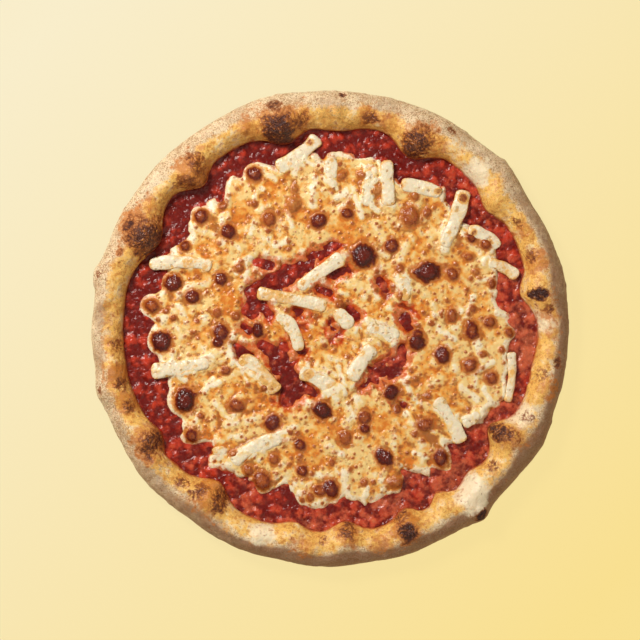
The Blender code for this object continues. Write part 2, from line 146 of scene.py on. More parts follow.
# Toasted orange places of the rim, in the same order of values.
RIM_TOASTS = (
    (4, 0.4, 7, 0.7), (18, 0.35, 9, 0.75), (27, 0.35, 7, 0.6), (65, 0.3, 12, 0.8), (74, 0.3, 8, 0.6),
    (80, 0.32, 7, 0.8), (98, 0.3, 8, 0.8), (104, 0.2, 15, 0.9), (112, 0.32, 8, 0.7),
    (131, 0.25, 12, 0.9), (146, 0.4, 8, 0.6), (152, 0.5, 13, 0.9), (153, 0.1, 16, 0.9),
    (184, 0.3, 8, 0.6), (192, 0.28, 9, 0.9), (200, 0.3, 9, 0.8), (212, 0.28, 12, 0.85),
    (226, 0.3, 7, 0.5), (234, 0.25, 12, 0.85), (268, 0.2, 6, 0.5), (275, 0.2, 9, 0.8),
    (291, 0.35, 10, 0.9), (303, 0.1, 5, 0.5), (328.5, 0.32, 9, 0.7), (345, 0.6, 8, 0.6),
    (354, 0.6, 6, 0.5), (359, 0.42, 6, 0.6), (178, 0.3, 7, 0.4), (60, 0.2, 8, 0.6),
    (8, 0.5, 8, 0.5), (262, 0.55, 8, 0.6), (283, 0.5, 8, 0.65),
)

# Pale floury places of the rim, in the same order of values.
RIM_PALES = (
    (47, 0.2, 10, 0.9), (120, 0.6, 14, 0.4), (140, 0.8, 12, 0.5), (170, 0.6, 10, 0.4),
    (220, 0.5, 8, 0.4), (251, 0.35, 9, 0.75), (283, 0.6, 8, 0.4), (311, 0.35, 12, 0.95),
    (338, 0.6, 8, 0.4), (30, 0.75, 9, 0.3), (55, 0.5, 9, 0.5),
    (2, 0.14, 10, 0.75), (210, 0.08, 8, 0.5), (242, 0.12, 8, 0.4), (300, 0.12, 8, 0.35),
    (336, 0.15, 10, 0.75),
)

# Dull grey-brown places of the rim, in the same order of values.
RIM_DUSKS = (
    (90, 0.45, 9, 0.55), (76, 0.75, 9, 0.5), (56, 0.9, 9, 0.45), (113, 0.95, 9, 0.4), (176, 0.75, 9, 0.6),
    (186, 0.95, 9, 0.5), (220, 0.6, 12, 0.6), (241, 0.85, 9, 0.5), (318, 0.6, 9, 0.5),
)

# Tongues and bays of the melted sheet: degrees, half width in degrees, millimetres outwards.
CHEESE_LOBES = (
    (358, 3, 7), (10, 4, -4.5), (27, 3.5, 7.5), (39, 4, -6.5), (53, 2.5, 3), (67, 5, -8),
    (77, 3, 2), (84, 3, -4), (93, 2, -4), (107, 3, -7), (114.5, 2.5, 6), (123.5, 2.5, 5.5),
    (130, 2.5, -5), (139, 2.5, 7), (146, 4, -5), (156, 2, 3), (164, 2.5, -4), (172, 3, 9),
    (183, 2.5, 5), (198, 3, -4), (207, 3, 1), (217.5, 2.5, 8), (223, 2, -8), (231, 3, 0.5),
    (243, 2.5, -7), (254, 3, -10), (266, 4, 3), (276, 2.5, -5.5), (285, 4, 1), (297, 3, -10),
    (306, 1.8, -6), (310.5, 2, 6), (315, 1.8, -7), (323, 3, -6.5), (338, 4, 8), (348, 4, 5),
)

# Gaps in the sheet that show the sauce, each a bent path: pixel x, pixel y and radius in pixels.
CHEESE_GAPS = (
    ((337, 246, 3), (317, 257, 7), (298, 270, 10), (276, 280, 11), (256, 290, 9), (253, 308, 8)),
    ((298, 314, 6), (302, 320, 5)),
    ((281, 355, 8), (284, 372, 11), (292, 386, 11), (288, 398, 9)),
    ((362, 386, 5), (378, 376, 9), (396, 364, 8), (407, 350, 4)),
    ((332, 328, 6), (335, 332, 6)),
    ((403, 312, 6), (407, 320, 7)),
)

# Narrow places where the sauce peeps through, as bent paths like the gaps.
SAUCE_PEEPS = (
    ((236, 346, 3), (243, 354, 6), (250, 358, 4)), ((262, 303, 4), (269, 316, 4)),
    ((243, 327, 3), (250, 331, 3)), ((380, 280, 3), (386, 290, 3)), ((333, 275, 4), (343, 271, 3)),
    ((258, 262, 4), (270, 266, 4)), ((292, 335, 2), (303, 352, 3)), ((307, 389, 4), (314, 393, 3)),
    ((350, 309, 3), (357, 317, 3)), ((262, 345, 4), (272, 352, 5)), ((408, 326, 3), (414, 333, 3)),
    ((356, 262, 3), (350, 270, 3)), ((320, 290, 3), (330, 293, 3)), ((396, 402, 3), (404, 406, 3)),
)

# Browned bubbles of the sheet: pixel x, pixel y, radius in pixels, and darkness from 0 to 1.
CHEESE_BUBBLES = (
    (364, 255, 14, 1.0), (427, 272, 12, 0.95), (411, 216, 10, 0.5), (162, 341, 11, 0.95),
    (185, 400, 13, 1.0), (322, 410, 10, 1.0), (417, 342, 9, 0.9), (443, 355, 9, 0.85),
    (391, 392, 9, 0.95), (384, 457, 9, 0.95), (440, 458, 9, 0.75), (331, 489, 10, 0.8),
    (173, 283, 9, 0.85), (425, 425, 9, 0.6), (319, 221, 9, 0.8), (221, 332, 9, 0.75),
    (254, 174, 8, 0.75), (228, 231, 8, 0.8), (269, 219, 8, 0.55), (294, 205, 8, 0.35),
    (192, 297, 8, 0.8), (221, 279, 7, 0.75), (201, 216, 8, 0.7), (472, 330, 9, 0.7),
    (470, 366, 8, 0.6), (490, 322, 7, 0.6), (492, 378, 7, 0.6), (396, 483, 8, 0.45),
    (272, 423, 9, 0.8), (302, 471, 7, 0.7), (262, 480, 10, 0.6), (300, 445, 7, 0.7),
    (345, 438, 8, 0.5), (452, 315, 7, 0.55), (453, 274, 7, 0.6), (391, 246, 8, 0.7),
    (236, 406, 8, 0.6), (192, 436, 7, 0.7), (152, 306, 9, 0.6), (206, 186, 6, 0.6),
    (365, 418, 8, 0.6), (347, 213, 7, 0.7),
)

# Smaller bubbles between them, in the same order of values.
SMALL_BUBBLES = (
    (418, 335, 6, 0.7), (257, 330, 7, 0.95), (218, 342, 6, 0.9), (340, 304, 5, 0.5),
    (185, 246, 6, 0.7), (463, 199, 6, 0.5), (472, 238, 6, 0.7),
    (486, 244, 6, 0.6), (427, 213, 5, 0.5), (377, 191, 5, 0.3), (415, 196, 5, 0.4),
    (342, 176, 5, 0.4), (361, 175, 4, 0.4), (400, 268, 5, 0.5), (400, 296, 4, 0.4),
    (469, 257, 5, 0.5), (476, 272, 4, 0.4), (492, 284, 5, 0.6), (473, 309, 4, 0.5),
    (509, 332, 5, 0.6), (502, 350, 4, 0.5), (483, 354, 4, 0.5), (397, 409, 5, 0.6),
    (428, 396, 4, 0.5), (416, 379, 4, 0.4), (415, 434, 4, 0.5), (365, 429, 6, 0.8),
    (364, 483, 4, 0.5), (332, 463, 4, 0.5), (217, 313, 5, 0.5), (236, 316, 5, 0.5),
    (239, 268, 5, 0.5), (255, 204, 4, 0.5), (295, 189, 4, 0.4),
    (274, 459, 6, 0.5), (248, 471, 6, 0.5), (310, 497, 5, 0.5), (320, 491, 7, 0.6),
    (201, 416, 4, 0.5), (226, 371, 5, 0.6), (264, 388, 4, 0.5), (277, 390, 5, 0.7),
    (233, 454, 4, 0.4), (223, 206, 5, 0.5), (166, 311, 4, 0.5), (173, 318, 4, 0.5),
)

# Browned spots on the firm strips, in the same order of values.
STRIP_SPOTS = (
    (310, 142, 5, 0.7), (290, 164, 3, 0.5), (332, 160, 3, 0.5), (373, 192, 4, 0.8), (400, 186, 4, 0.7),
    (438, 191, 4, 0.7), (463, 198, 6, 0.8), (449, 232, 3, 0.5), (474, 233, 4, 0.7), (490, 242, 4, 0.7),
    (303, 283, 4, 0.6), (318, 274, 2, 0.5), (265, 294, 3, 0.5), (288, 325, 3, 0.5), (294, 340, 2, 0.5),
    (377, 329, 3, 0.5), (308, 374, 7, 0.6), (246, 362, 3, 0.5), (262, 378, 4, 0.6), (272, 388, 4, 0.7),
    (363, 352, 3, 0.5), (354, 370, 2, 0.5), (345, 315, 3, 0.5), (404, 292, 4, 0.6), (512, 372, 3, 0.5),
    (188, 264, 8, 0.45), (205, 266, 4, 0.5), (195, 366, 3, 0.4),
)

# Golden oily zones of the sheet: pixel x, pixel y and radius in pixels.
OIL_ZONES = (
    (250, 398, 26), (432, 388, 30), (310, 447, 26), (412, 236, 24), (345, 236, 16), (240, 215, 18),
    (205, 262, 20), (196, 325, 16), (420, 312, 20), (378, 420, 24), (270, 190, 16), (230, 300, 18),
    (330, 425, 20), (400, 470, 20), (300, 210, 16), (215, 440, 16), (440, 200, 14), (350, 345, 22),
    (300, 325, 26), (380, 300, 20), (290, 395, 22), (340, 290, 22),
)

# Strips: width in millimetres and the pixel places that the middle of the strip passes through.
STRIPS = (
    (8.5, (277, 169), (300, 154), (318, 137)),
    (7.5, (329, 157), (331, 168), (330, 181)),
    (7.5, (370, 170), (369, 188), (366, 206)),
    (8.0, (386, 160), (388, 182), (388, 206)),
    (8.0, (401, 185), (420, 187), (441, 194)),
    (8.5, (464, 190), (456, 219), (443, 247)),
    (8.0, (468, 231), (484, 235), (498, 248)),
    (6.5, (488, 262), (503, 267), (518, 277)),
    (7.5, (149, 265), (181, 262), (212, 266)),
    (8.0, (298, 288), (323, 270), (343, 257)),
    (7.5, (257, 293), (292, 299), (327, 306)),
    (7.5, (276, 316), (292, 328), (299, 351)),
    (7.0, (403, 276), (405, 288), (405, 301)),
    (8.0, (335, 310), (344, 319), (352, 327)),
    (9.5, (367, 325), (383, 331), (398, 339)),
    (8.5, (151, 371), (180, 368), (209, 362)),
    (9.5, (240, 357), (262, 375), (277, 392)),
    (9.5, (300, 371), (320, 380), (338, 392)),
    (8.5, (350, 380), (362, 361), (373, 346)),
    (5.0, (511, 352), (512, 377), (507, 402)),
    (8.0, (436, 399), (451, 420), (461, 443)),
    (6.0, (463, 425), (471, 420), (479, 413)),
    (8.5, (218, 446), (219, 451), (220, 456)),
    (8.0, (232, 463), (255, 447), (282, 438)),
)

# How golden each strip has baked, from 0 to 1.
STRIP_GOLD = (
    0.25, 0.5, 0.15, 0.6, 0.15, 0.35, 0.5, 0.4, 0.35, 0.3, 0.8, 0.3, 0.6, 0.4, 0.15, 0.2, 0.75, 0.65,
    0.3, 0.4, 0.05, 0.3, 0.2, 0.15,
)

# Drawn browned spots: millimetres apart, chance of one, smallest and largest radius, and own seed.
SPOT_KINDS = ((7.5, 0.6, 1.1, 2.3, 23), (4.2, 0.55, 0.6, 1.3, 24))

# Lamps: name, place in metres, side in metres, power in watts and tint.
LAMPS = (
    ("key", (-0.58, 0.62, 0.91), 0.3, 14.0, (1.0, 0.96, 0.9)),
    ("fill", (0.5, -0.6, 1.2), 1.2, 3.8, (1.0, 0.85, 0.68)),
)
ROOM_TINT = (1.0, 0.95, 0.86)
FLOOR_REACH = 3.0
FLOOR_GLOW = 0.94
CAMERA_DISTANCE = 2.0
PICTURE_LEVEL = 10 * MM
SENSOR_MILLIMETRES = 36.0

# Counts: cells of the noise's lattice, rows and turns of the surfaces, and drawn things.
LATTICE = 64
CRUST_TURNS = 700
FLOOR_ROWS = 6
FACE_ROWS = 34
SHOULDER_ROWS = 40
FOOT_ROWS = 20
UNDERSIDE_ROWS = 26
SHEET_CELLS = 306
STRIP_STEPS = 44
STRIP_SIDES = 32
HALF_MELTED_STRIPS = 230
GROUND_WAVES = 9


def linear(hexadecimal):
    """A colour written as six hexadecimal digits, turned into the linear values that shaders take.

    Each pair of digits is a share of 255. A low share is divided by 12.92. A higher one gets 0.055
    added, is divided by 1.055 and is raised to the power 2.4.
    """
    values = []
    for start in (0, 2, 4):
        share = int(hexadecimal[start:start + 2], 16) / 255.0
        values.append(share / 12.92 if share <= 0.04045 else ((share + 0.055) / 1.055) ** 2.4)
    return tuple(values)


# Tones that the user's colours shade into.
SHELL_SPECK = linear("8A6040")
CREAMY_DOUGH = linear("F8E2B0")
DOUGH_STREAK = linear("C67A32")
DOUGH_FLECK = linear("965424")
# Grey-brown of the dough, also laid on as painted shade on the rim's side away from the light.
DULL_DOUGH_AND_PAINTED_SHADE = linear("7E4826")
FLOURY_DOUGH = linear("F8E8C6")
BROWN_BAKE = linear("94501F")
DARK_BAKE = linear("5C2C18")
SAUCE_STAIN = linear("B4481A")
# Orange of oily sauce, also laid on as painted light on the sauce's lit side.
OILY_SAUCE_AND_PAINTED_LIGHT = linear("D2714A")
ORANGE_OIL = linear("D8741C")
PALE_CHEESE = linear("F9ECCC")
# Painted shade laid into the sheet's creases.
PAINTED_CREASE_SHADE_TONE = linear("9C5C28")
SAUCE_BLUSH = linear("E07840")
BUBBLE_HALO = linear("CC6E24")
BAKED_DOT = linear("B07A34")
BAKED_SPECK = linear("8C4A22")
BUBBLE_RIM = linear("BC7430")
BUBBLE_HEART = linear("420D08")
GOLDEN_STRIP = linear("E6AC54")
BROWN_STRIP = linear("A85E28")
SPOTTED_STRIP = linear("84391A")


def colour_property(name, description, hexadecimal):
    """A colour that a user can change. Its default is the linear value of the digits."""
    return bpy.props.FloatVectorProperty(
        name=name, description=description, subtype="COLOR", size=3, min=0.0, max=1.0,
        default=linear(hexadecimal),
    )


def depth_property(name, description, default):
    """A height of relief that a user can change, from nothing to the deepest relief."""
    return bpy.props.FloatProperty(
        name=name, description=description, default=default, min=0.0, max=DEEPEST_RELIEF,
        unit="LENGTH", precision=5,
    )


class PizzaSizes(bpy.types.PropertyGroup):
    """Heights of the relief that a user can change"""

    rim_wrinkles: depth_property("Rim wrinkles", "Height of the small lumps of the rim", 0.45 * MM)
    rim_blisters: depth_property("Rim blisters", "Height of the small blisters of the rim", 0.7 * MM)
    char_grain: depth_property("Char grain", "Roughness of the burnt places", 0.7 * MM)
    sauce_pulp: depth_property("Sauce pulp", "Height of the pulp in the sauce", 1.3 * MM)
    cheese_ridges: depth_property("Cheese ridges", "Height of the half-melted strips", 0.9 * MM)
    cheese_spots: depth_property("Cheese spots", "Height of the small browned bubbles", 0.5 * MM)
    strip_sink: depth_property("Strip sink", "How deep a strip has sunk into the sheet", 1.2 * MM)


class PizzaColours(bpy.types.PropertyGroup):
    """Colours that a user can change"""

    flour: colour_property("Flour", "Pale floury outside of the rim", "EFD6B0")
    dough: colour_property("Dough", "Baked grey-brown outside of the rim", "C39C74")
    gold: colour_property("Gold", "Golden inside of the rim", "F5C266")
    toast: colour_property("Toast", "Toasted orange patches", "C87628")
    char: colour_property("Char", "Burnt blisters", "3E1A14")
    sauce_deep: colour_property("Deep sauce", "Sauce in the hollows", "6E0B03")
    sauce_pulp: colour_property("Sauce pulp", "Pulp on top of the sauce", "C43A20")
    cream: colour_property("Cream", "Melted cheese", "F3D088")
    oil: colour_property("Oil", "Golden oily cheese", "EEA23C")
    spot: colour_property("Spot", "Small browned spots", "A6521F")
    bubble: colour_property("Bubble", "Dark browned bubbles", "681B0C")
    strip: colour_property("Strip", "Firm mozzarella", "F1E3C5")
    floor_near: colour_property("Floor left", "Floor at the upper left", "F7ECCA")
    floor_far: colour_property("Floor right", "Floor at the lower right", "FAE192")


def from_picture(pixel_x, pixel_y):
    """A place in the picture, in metres: the pixels from the pizza's middle times a pixel's size."""
    return (pixel_x - PICTURE_CENTRE[0]) * PIXEL, (PICTURE_CENTRE[1] - pixel_y) * PIXEL


def smooth_step(share):
    """Eases from 0 to 1 as the share does: three times its square, less twice its cube."""
    share = np.clip(share, 0.0, 1.0)
    return share * share * (3.0 - 2.0 * share)


def turn_from(theta, degrees):
    """How far each angle lies past a given one, in degrees from -180 to 180."""
    return (np.degrees(theta) - degrees + 180.0) % 360.0 - 180.0


def lobes(theta, entries):
    """The sum of one rounded hump for each entry.

    It is the height times one half to the power of the squared share of the half width.
    """
    total = np.zeros_like(theta)
    for degrees, half_width, height in entries:
        total += height * MM * np.exp(-math.log(2.0) * (turn_from(theta, degrees) / half_width) ** 2)
    return total


def ripple(theta, amplitude, lowest, highest, seed):
    """An uneven wave round the pizza: a sine for each whole count of waves, with a drawn phase."""
    draw = np.random.default_rng(seed)
    counts = np.arange(lowest, highest + 1)
    total = np.zeros_like(theta)
    for count in counts:
        total += draw.uniform(0.3, 1.0) * np.sin(count * theta + draw.uniform(0.0, 2.0 * math.pi))
    return amplitude * total / math.sqrt(len(counts))


def ground(x, y, amplitude, wave_length, seed):
    """An uneven field: sines of one wave length that run in drawn directions."""
    draw = np.random.default_rng(seed)
    total = np.zeros_like(x)
    for _ in range(GROUND_WAVES):
        heading = draw.uniform(0.0, 2.0 * math.pi)
        pace = 2.0 * math.pi / (wave_length * draw.uniform(0.75, 1.3))
        along = x * math.cos(heading) + y * math.sin(heading)
        total += np.sin(along * pace + draw.uniform(0.0, 2.0 * math.pi))
    return amplitude * total / math.sqrt(GROUND_WAVES)


def clouds(places, size, seed):
    """Value noise from -1 to 1: drawn heights on a lattice of that size in mm, joined by smooth steps."""
    size = size * MM
    dimensions = places.shape[-1]
    table = np.random.default_rng(SEED + seed).uniform(-1.0, 1.0, (LATTICE,) * dimensions)
    cell = np.floor(places / size).astype(int)
    share = smooth_step(places / size - cell)
    total = np.zeros(places.shape[:-1])
    for corner in itertools.product((0, 1), repeat=dimensions):
        weight = np.prod(np.where(corner, share, 1.0 - share), axis=-1)
        total += weight * table[tuple(np.moveaxis((cell + corner) % LATTICE, -1, 0))]
    return total


def cells(places, size, seed):
    """Distance to the nearest drawn point, and that point's drawn number.

    Each cell of a lattice of the given size in millimetres holds one point.
    """
    size = size * MM
    dimensions = places.shape[-1]
    draw = np.random.default_rng(SEED + seed)
    point = draw.uniform(0.1, 0.9, (LATTICE,) * dimensions + (dimensions,))
    number = draw.uniform(0.0, 1.0, (LATTICE,) * dimensions)
    cell = np.floor(places / size).astype(int)
    nearest = np.full(places.shape[:-1], np.inf)
    chosen = np.zeros(places.shape[:-1])
    for step in itertools.product((-1, 0, 1), repeat=dimensions):
        index = tuple(np.moveaxis((cell + step) % LATTICE, -1, 0))
        away = np.linalg.norm(places / size - cell - step - point[index], axis=-1)
        closer = away < nearest
        nearest = np.where(closer, away, nearest)
        chosen = np.where(closer, number[index], chosen)
    return nearest * size, chosen


def outer_radius(theta):
    """The rim's outer edge: a circle plus its lobes and a fine ripple."""
    return RADIUS + lobes(theta, OUTER_LOBES) + ripple(theta, 0.35 * MM, 9, 26, SEED)


def inner_radius(theta):
    """Where the rim meets the sauce: a circle less the blisters, plus the bays and a fine ripple."""
    swelling = lobes(theta, INNER_BLISTERS) - lobes(theta, INNER_BAYS)
    return INNER_RADIUS - swelling + ripple(theta, 0.35 * MM, 11, 30, SEED + 1)


def crown_height(theta):
    """The top of the rim: its height plus shares of the swelling inside and outside, and a ripple."""
    swelling = 0.3 * lobes(theta, INNER_BLISTERS) + 0.5 * lobes(theta, OUTER_LOBES)
    return RIM_HEIGHT + swelling + ripple(theta, 1.0 * MM, 3, 15, SEED + 2)


def rim_patches(theta, across, entries):
    """For each place on the rim, the share of the distance out to each patch's edge, and its value."""
    for degrees, middle, radius, value in entries:
        along = np.radians(turn_from(theta, degrees)) * (INNER_RADIUS + middle * RIM_WIDTH)
        yield np.hypot(along, (across - middle) * RIM_WIDTH) / (radius * MM), value


def bubble_rise(theta, across):
    """How far the bubbles lift the rim's top.

    Each is a dome: its rise times one less the squared share of its radius, to the power 1.5.
    """
    total = np.zeros_like(theta)
    for share, rise in rim_patches(theta, across, RIM_BUBBLES):
        total += rise * MM * (1.0 - np.clip(share, 0.0, 1.0) ** 2) ** 1.5
    return total


def soft_patches(theta, across, entries, fray):
    """The strongest patch at each place on the rim: its value, eased off round its frayed edge."""
    strongest = np.zeros_like(theta)
    for share, value in rim_patches(theta, across, entries):
        strongest = np.maximum(strongest, value * smooth_step(1.5 - share * (1.0 + fray)))
    return strongest


def cheese_radius(theta):
    """The melted sheet's edge: a circle plus its tongues and bays and a fine ripple."""
    return CHEESE_RADIUS + lobes(theta, CHEESE_LOBES) + ripple(theta, 0.5 * MM, 20, 44, SEED + 3)


def path_distance(x, y, path):
    """Distance outside a bent path, the least of its straight runs; below nothing inside it.

    For each run it is the distance to the nearest place on the run, less the radius there.
    """
    nearest = np.full_like(x, DIAMETER)
    for (start_x, start_y, start_radius), (end_x, end_y, end_radius) in zip(path, path[1:]):
        from_x, from_y = from_picture(start_x, start_y)
        to_x, to_y = from_picture(end_x, end_y)
        run_x, run_y = to_x - from_x, to_y - from_y
        share = ((x - from_x) * run_x + (y - from_y) * run_y) / (run_x**2 + run_y**2)
        share = np.clip(share, 0.0, 1.0)
        radius = (start_radius + (end_radius - start_radius) * share) * PIXEL
        away = np.hypot(x - from_x - share * run_x, y - from_y - share * run_y)
        nearest = np.minimum(nearest, away - radius)
    return nearest


def paths_distance(x, y, paths):
    """How far each place is outside the nearest of bent paths, in metres; below nothing inside one."""
    nearest = np.full_like(x, DIAMETER)
    for path in paths:
        nearest = np.minimum(nearest, path_distance(x, y, path))
    return nearest


def strip_distance(x, y):
    """How far each place is outside the nearest firm strip; below nothing under one."""
    return paths_distance(
        x, y, ([(*place, width * MM / 2 / PIXEL) for place in places] for width, *places in STRIPS)
    )


def bend_through(start, middle, end, share):
    """Points along the parabola that passes through three places at the shares 0, 0.5 and 1.

    Each place is weighed by the product of the distances to the other two shares.
    """
    share = share[:, None]
    start, middle, end = (np.array(place) for place in (start, middle, end))
    weight_start = 2.0 * (share - 0.5) * (share - 1.0)
    weight_middle = 4.0 * share * (1.0 - share)
    weight_end = 2.0 * share * (share - 0.5)
    return weight_start * start + weight_middle * middle + weight_end * end


def make_piece(name, places, faces, material, attributes, node):
    """Puts arrays of places and faces into a smooth mesh that stands for one solid of the pizza."""
    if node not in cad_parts:
        raise RuntimeError(f"the pizza has no solid named {node}")
    mesh = bpy.data.meshes.new(name)
    mesh.from_pydata(places.tolist(), [], faces)
    for key, values in attributes.items():
        layer = mesh.attributes.new(key, "FLOAT", "POINT")
        layer.data.foreach_set("value", np.ascontiguousarray(values, dtype=np.float32).ravel())
    mesh.materials.append(material)
    mesh.shade_smooth()
    mesh.update()
    piece = bpy.data.objects.new(name, mesh)
    bpy.context.scene.collection.objects.link(piece)
    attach(piece, "root")
    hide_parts(node)
    return piece


def turned_piece(name, places, poles, layers, at_poles, material, node):
    """Closes rows of places round an axis by a pole at each end, and makes them a piece."""
    rows, turns = places.shape[:2]
    vertices = np.concatenate([poles[:1], places.reshape(-1, 3), poles[1:]])
    attributes = {
        key: np.concatenate([[at_poles], values.ravel(), [at_poles]]) for key, values in layers.items()
    }
    faces = closed_turn_faces(rows, turns)
    return make_piece(name, vertices, faces, material, attributes, node)


def closed_turn_faces(rows, turns):
    """Faces of a surface of rows round an axis: a fan at each pole and bands of quads between them.

    The first vertex is the first pole, the last one is the last pole, and each row has one vertex a turn.
    """
    along = np.arange(turns)
    after = (along + 1) % turns
    start = 1 + np.arange(rows - 1)[:, None] * turns
    quads = np.stack(
        [start + along, start + turns + along, start + turns + after, start + after], axis=-1
    )
    last = 1 + rows * turns
    first_fan = np.stack([np.zeros(turns, int), 1 + along, 1 + after], axis=-1)
    last_row = last - turns
    last_fan = np.stack([np.full(turns, last), last_row + after, last_row + along], axis=-1)
    return first_fan.tolist() + quads.reshape(-1, 4).tolist() + last_fan.tolist()


def square_to_disc(cells_per_side):
    """A square grid squeezed into a disc, as shares of the radius and angles.

    The larger distance from the middle lines is the share, so squares become rings. The smaller one
    over the larger turns each place by up to 45 degrees.
    """
    side = np.linspace(-1.0, 1.0, cells_per_side + 1)
    u, v = np.meshgrid(side, side, indexing="xy")
    reach = np.maximum(np.abs(u), np.abs(v))
    safe = np.where(reach > 0.0, reach, 1.0)
    wide = np.abs(u) >= np.abs(v)
    lean = np.where(wide, v / safe, u / safe) * math.pi / 4
    across_x = np.where(u >= 0.0, 0.0, math.pi) + np.where(u >= 0.0, lean, -lean)
    across_y = np.where(v >= 0.0, math.pi / 2 - lean, lean - math.pi / 2)
    theta = np.where(wide, across_x, across_y)
    return reach.ravel(), theta.ravel()


def closed_sheet(x, y, top, bottom, cells_per_side):
    """A square-grid top with a wall down its border and a flat fan underneath, as places and faces."""
    count = cells_per_side + 1
    index = np.arange(count * count).reshape(count, count)
    quads = np.stack([index[:-1, :-1], index[:-1, 1:], index[1:, 1:], index[1:, :-1]], axis=-1)
    border = np.concatenate([index[0, :-1], index[:-1, -1], index[-1, :0:-1], index[:0:-1, 0]])
    lower = count * count + np.arange(len(border))
    after, lower_after = np.roll(border, -1), np.roll(lower, -1)
    wall = np.stack([border, lower, lower_after, after], axis=-1)
    middle = count * count + len(border)
    fan = np.stack([np.full(len(border), middle), lower_after, lower], axis=-1)
    upper_places = np.stack([x, y, top], axis=-1)
    lower_places = np.stack([x[border], y[border], np.full(len(border), bottom)], axis=-1)
    places = np.concatenate([upper_places, lower_places, [[0.0, 0.0, bottom]]])
    faces = quads.reshape(-1, 4).tolist() + wall.tolist() + fan.tolist()
    return places, faces, border


def sheet_piece(name, x, y, top, bottom, layers, material, node):
    """A closed sheet as a piece: its values on top are repeated at its lower border and middle."""
    places, faces, border = closed_sheet(x, y, top, bottom, SHEET_CELLS)
    attributes = {
        key: np.concatenate([values, values[border], [0.0]]) for key, values in layers.items()
    }
    return make_piece(name, places, faces, material, attributes, node)


def near_middle(radius):
    """1 in the middle of the pizza, easing to 0 outwards."""
    return 1.0 - smooth_step((radius - MIDDLE_RADIUS) / MIDDLE_FADE)


class Socket:
    """A shader socket that sums like a number: each operator adds a Math node."""

    def __init__(self, look, output):
        self.look = look
        self.output = output

    def math(self, operation, *values, clamp=False):
        """Adds the Math node of an operation on the given values."""
        settings = {"operation": operation, "use_clamp": clamp}
        return self.look.node("ShaderNodeMath", settings, dict(enumerate(values)))

    def __add__(self, other):
        return self.math("ADD", self, other)

    def __radd__(self, other):
        return self.math("ADD", other, self)

    def __sub__(self, other):
        return self.math("SUBTRACT", self, other)

    def __rsub__(self, other):
        return self.math("SUBTRACT", other, self)

    def __mul__(self, other):
        return self.math("MULTIPLY", self, other)

    def __rmul__(self, other):
        return self.math("MULTIPLY", other, self)

    def magnitude(self):
        """The value without its sign."""
        return self.math("ABSOLUTE", self)

    def clamp(self):
        """The value held between 0 and 1."""
        return self.math("ADD", self, 0.0, clamp=True)

    def ramp(self, low, high):
        """Rises smoothly from 0 at low to 1 at high."""
        settings = {"interpolation_type": "SMOOTHSTEP"}
        return self.look.node(
            "ShaderNodeMapRange", settings, {"Value": self, "From Min": low, "From Max": high}
        )


class Look:
    """The node tree of a material or world, with short ways to add the nodes that the pizza uses."""

    def __init__(self, owner, body="Principled BSDF"):
        owner.use_nodes = True
        self.owner = owner
        self.tree = owner.node_tree
        self.body = self.tree.nodes[body]

    def feed(self, socket, value):
        """Links a socket to another one, or sets its value, with a fourth value added to a colour."""
        if isinstance(value, Socket):
            self.tree.links.new(value.output, socket)
        elif socket.type == "RGBA":
            socket.default_value = (*value, 1.0)
        else:
            socket.default_value = value

    def node(self, kind, settings=None, sockets=None, output=0):
        """Adds a node: its settings first, then the values or links of its sockets."""
        made = self.tree.nodes.new(kind)
        for key, value in (settings or {}).items():
            setattr(made, key, value)
        for key, value in (sockets or {}).items():
            self.feed(made.inputs[key], value)
        return Socket(self, made.outputs[output])

    def place(self):
        """The place on the piece, in metres."""
        return self.node("ShaderNodeTexCoord", output="Object")

    def axis(self, vector, letter):
        """One of a vector's three values."""
        return self.node("ShaderNodeSeparateXYZ", None, {0: vector}, letter)

    def attributes(self, *names):
        """The piece's own attributes: values that its surface function worked out for each place."""
        for name in names:
            yield self.node("ShaderNodeAttribute", {"attribute_name": name}, output="Fac")

    def noise(self, size, detail=3.0, roughness=0.55):
        """Noise from 0 to 1 whose lumps are about the given size in metres."""
        sockets = {"Vector": self.place(), "Scale": 1.0 / size, "Detail": detail, "Roughness": roughness}
        return self.node("ShaderNodeTexNoise", None, sockets)

    def wave(self, size, detail=3.0, roughness=0.55):
        """The same noise from -0.5 to 0.5."""
        return self.noise(size, detail, roughness) - 0.5

    def dots(self, size):
        """Distance to scattered points that lie about the given size apart, as a share of that size."""
        sockets = {"Vector": self.place(), "Scale": 1.0 / size}
        return self.node("ShaderNodeTexVoronoi", None, sockets, "Distance")

    def mix(self, first, second, factor, blend="MIX"):
        """The first colour where the factor is 0, and the blend with the second where it is 1."""
        settings = {"data_type": "RGBA", "blend_type": blend}
        return self.node("ShaderNodeMix", settings, {0: factor, 6: first, 7: second}, 2)

    def paint(self, tone, *coats):
        """Lays coats on a tone, each a colour and the share, from 0 to 1, by which it covers the rest."""
        for over, share in coats:
            tone = self.mix(tone, over, share)
        return tone

    def bump(self, height, distance, strength=1.0):
        """The surface's direction, tilted by the slope of a height that spans the given distance."""
        sockets = {"Strength": strength, "Distance": distance, "Height": height}
        return self.node("ShaderNodeBump", None, sockets)

    def finish(self, **values):
        """Feeds the last shader; an underscore in a key stands for a space in a socket's name."""
        for key, value in values.items():
            self.feed(self.body.inputs[key.replace("_", " ")], value)
        return self.owner


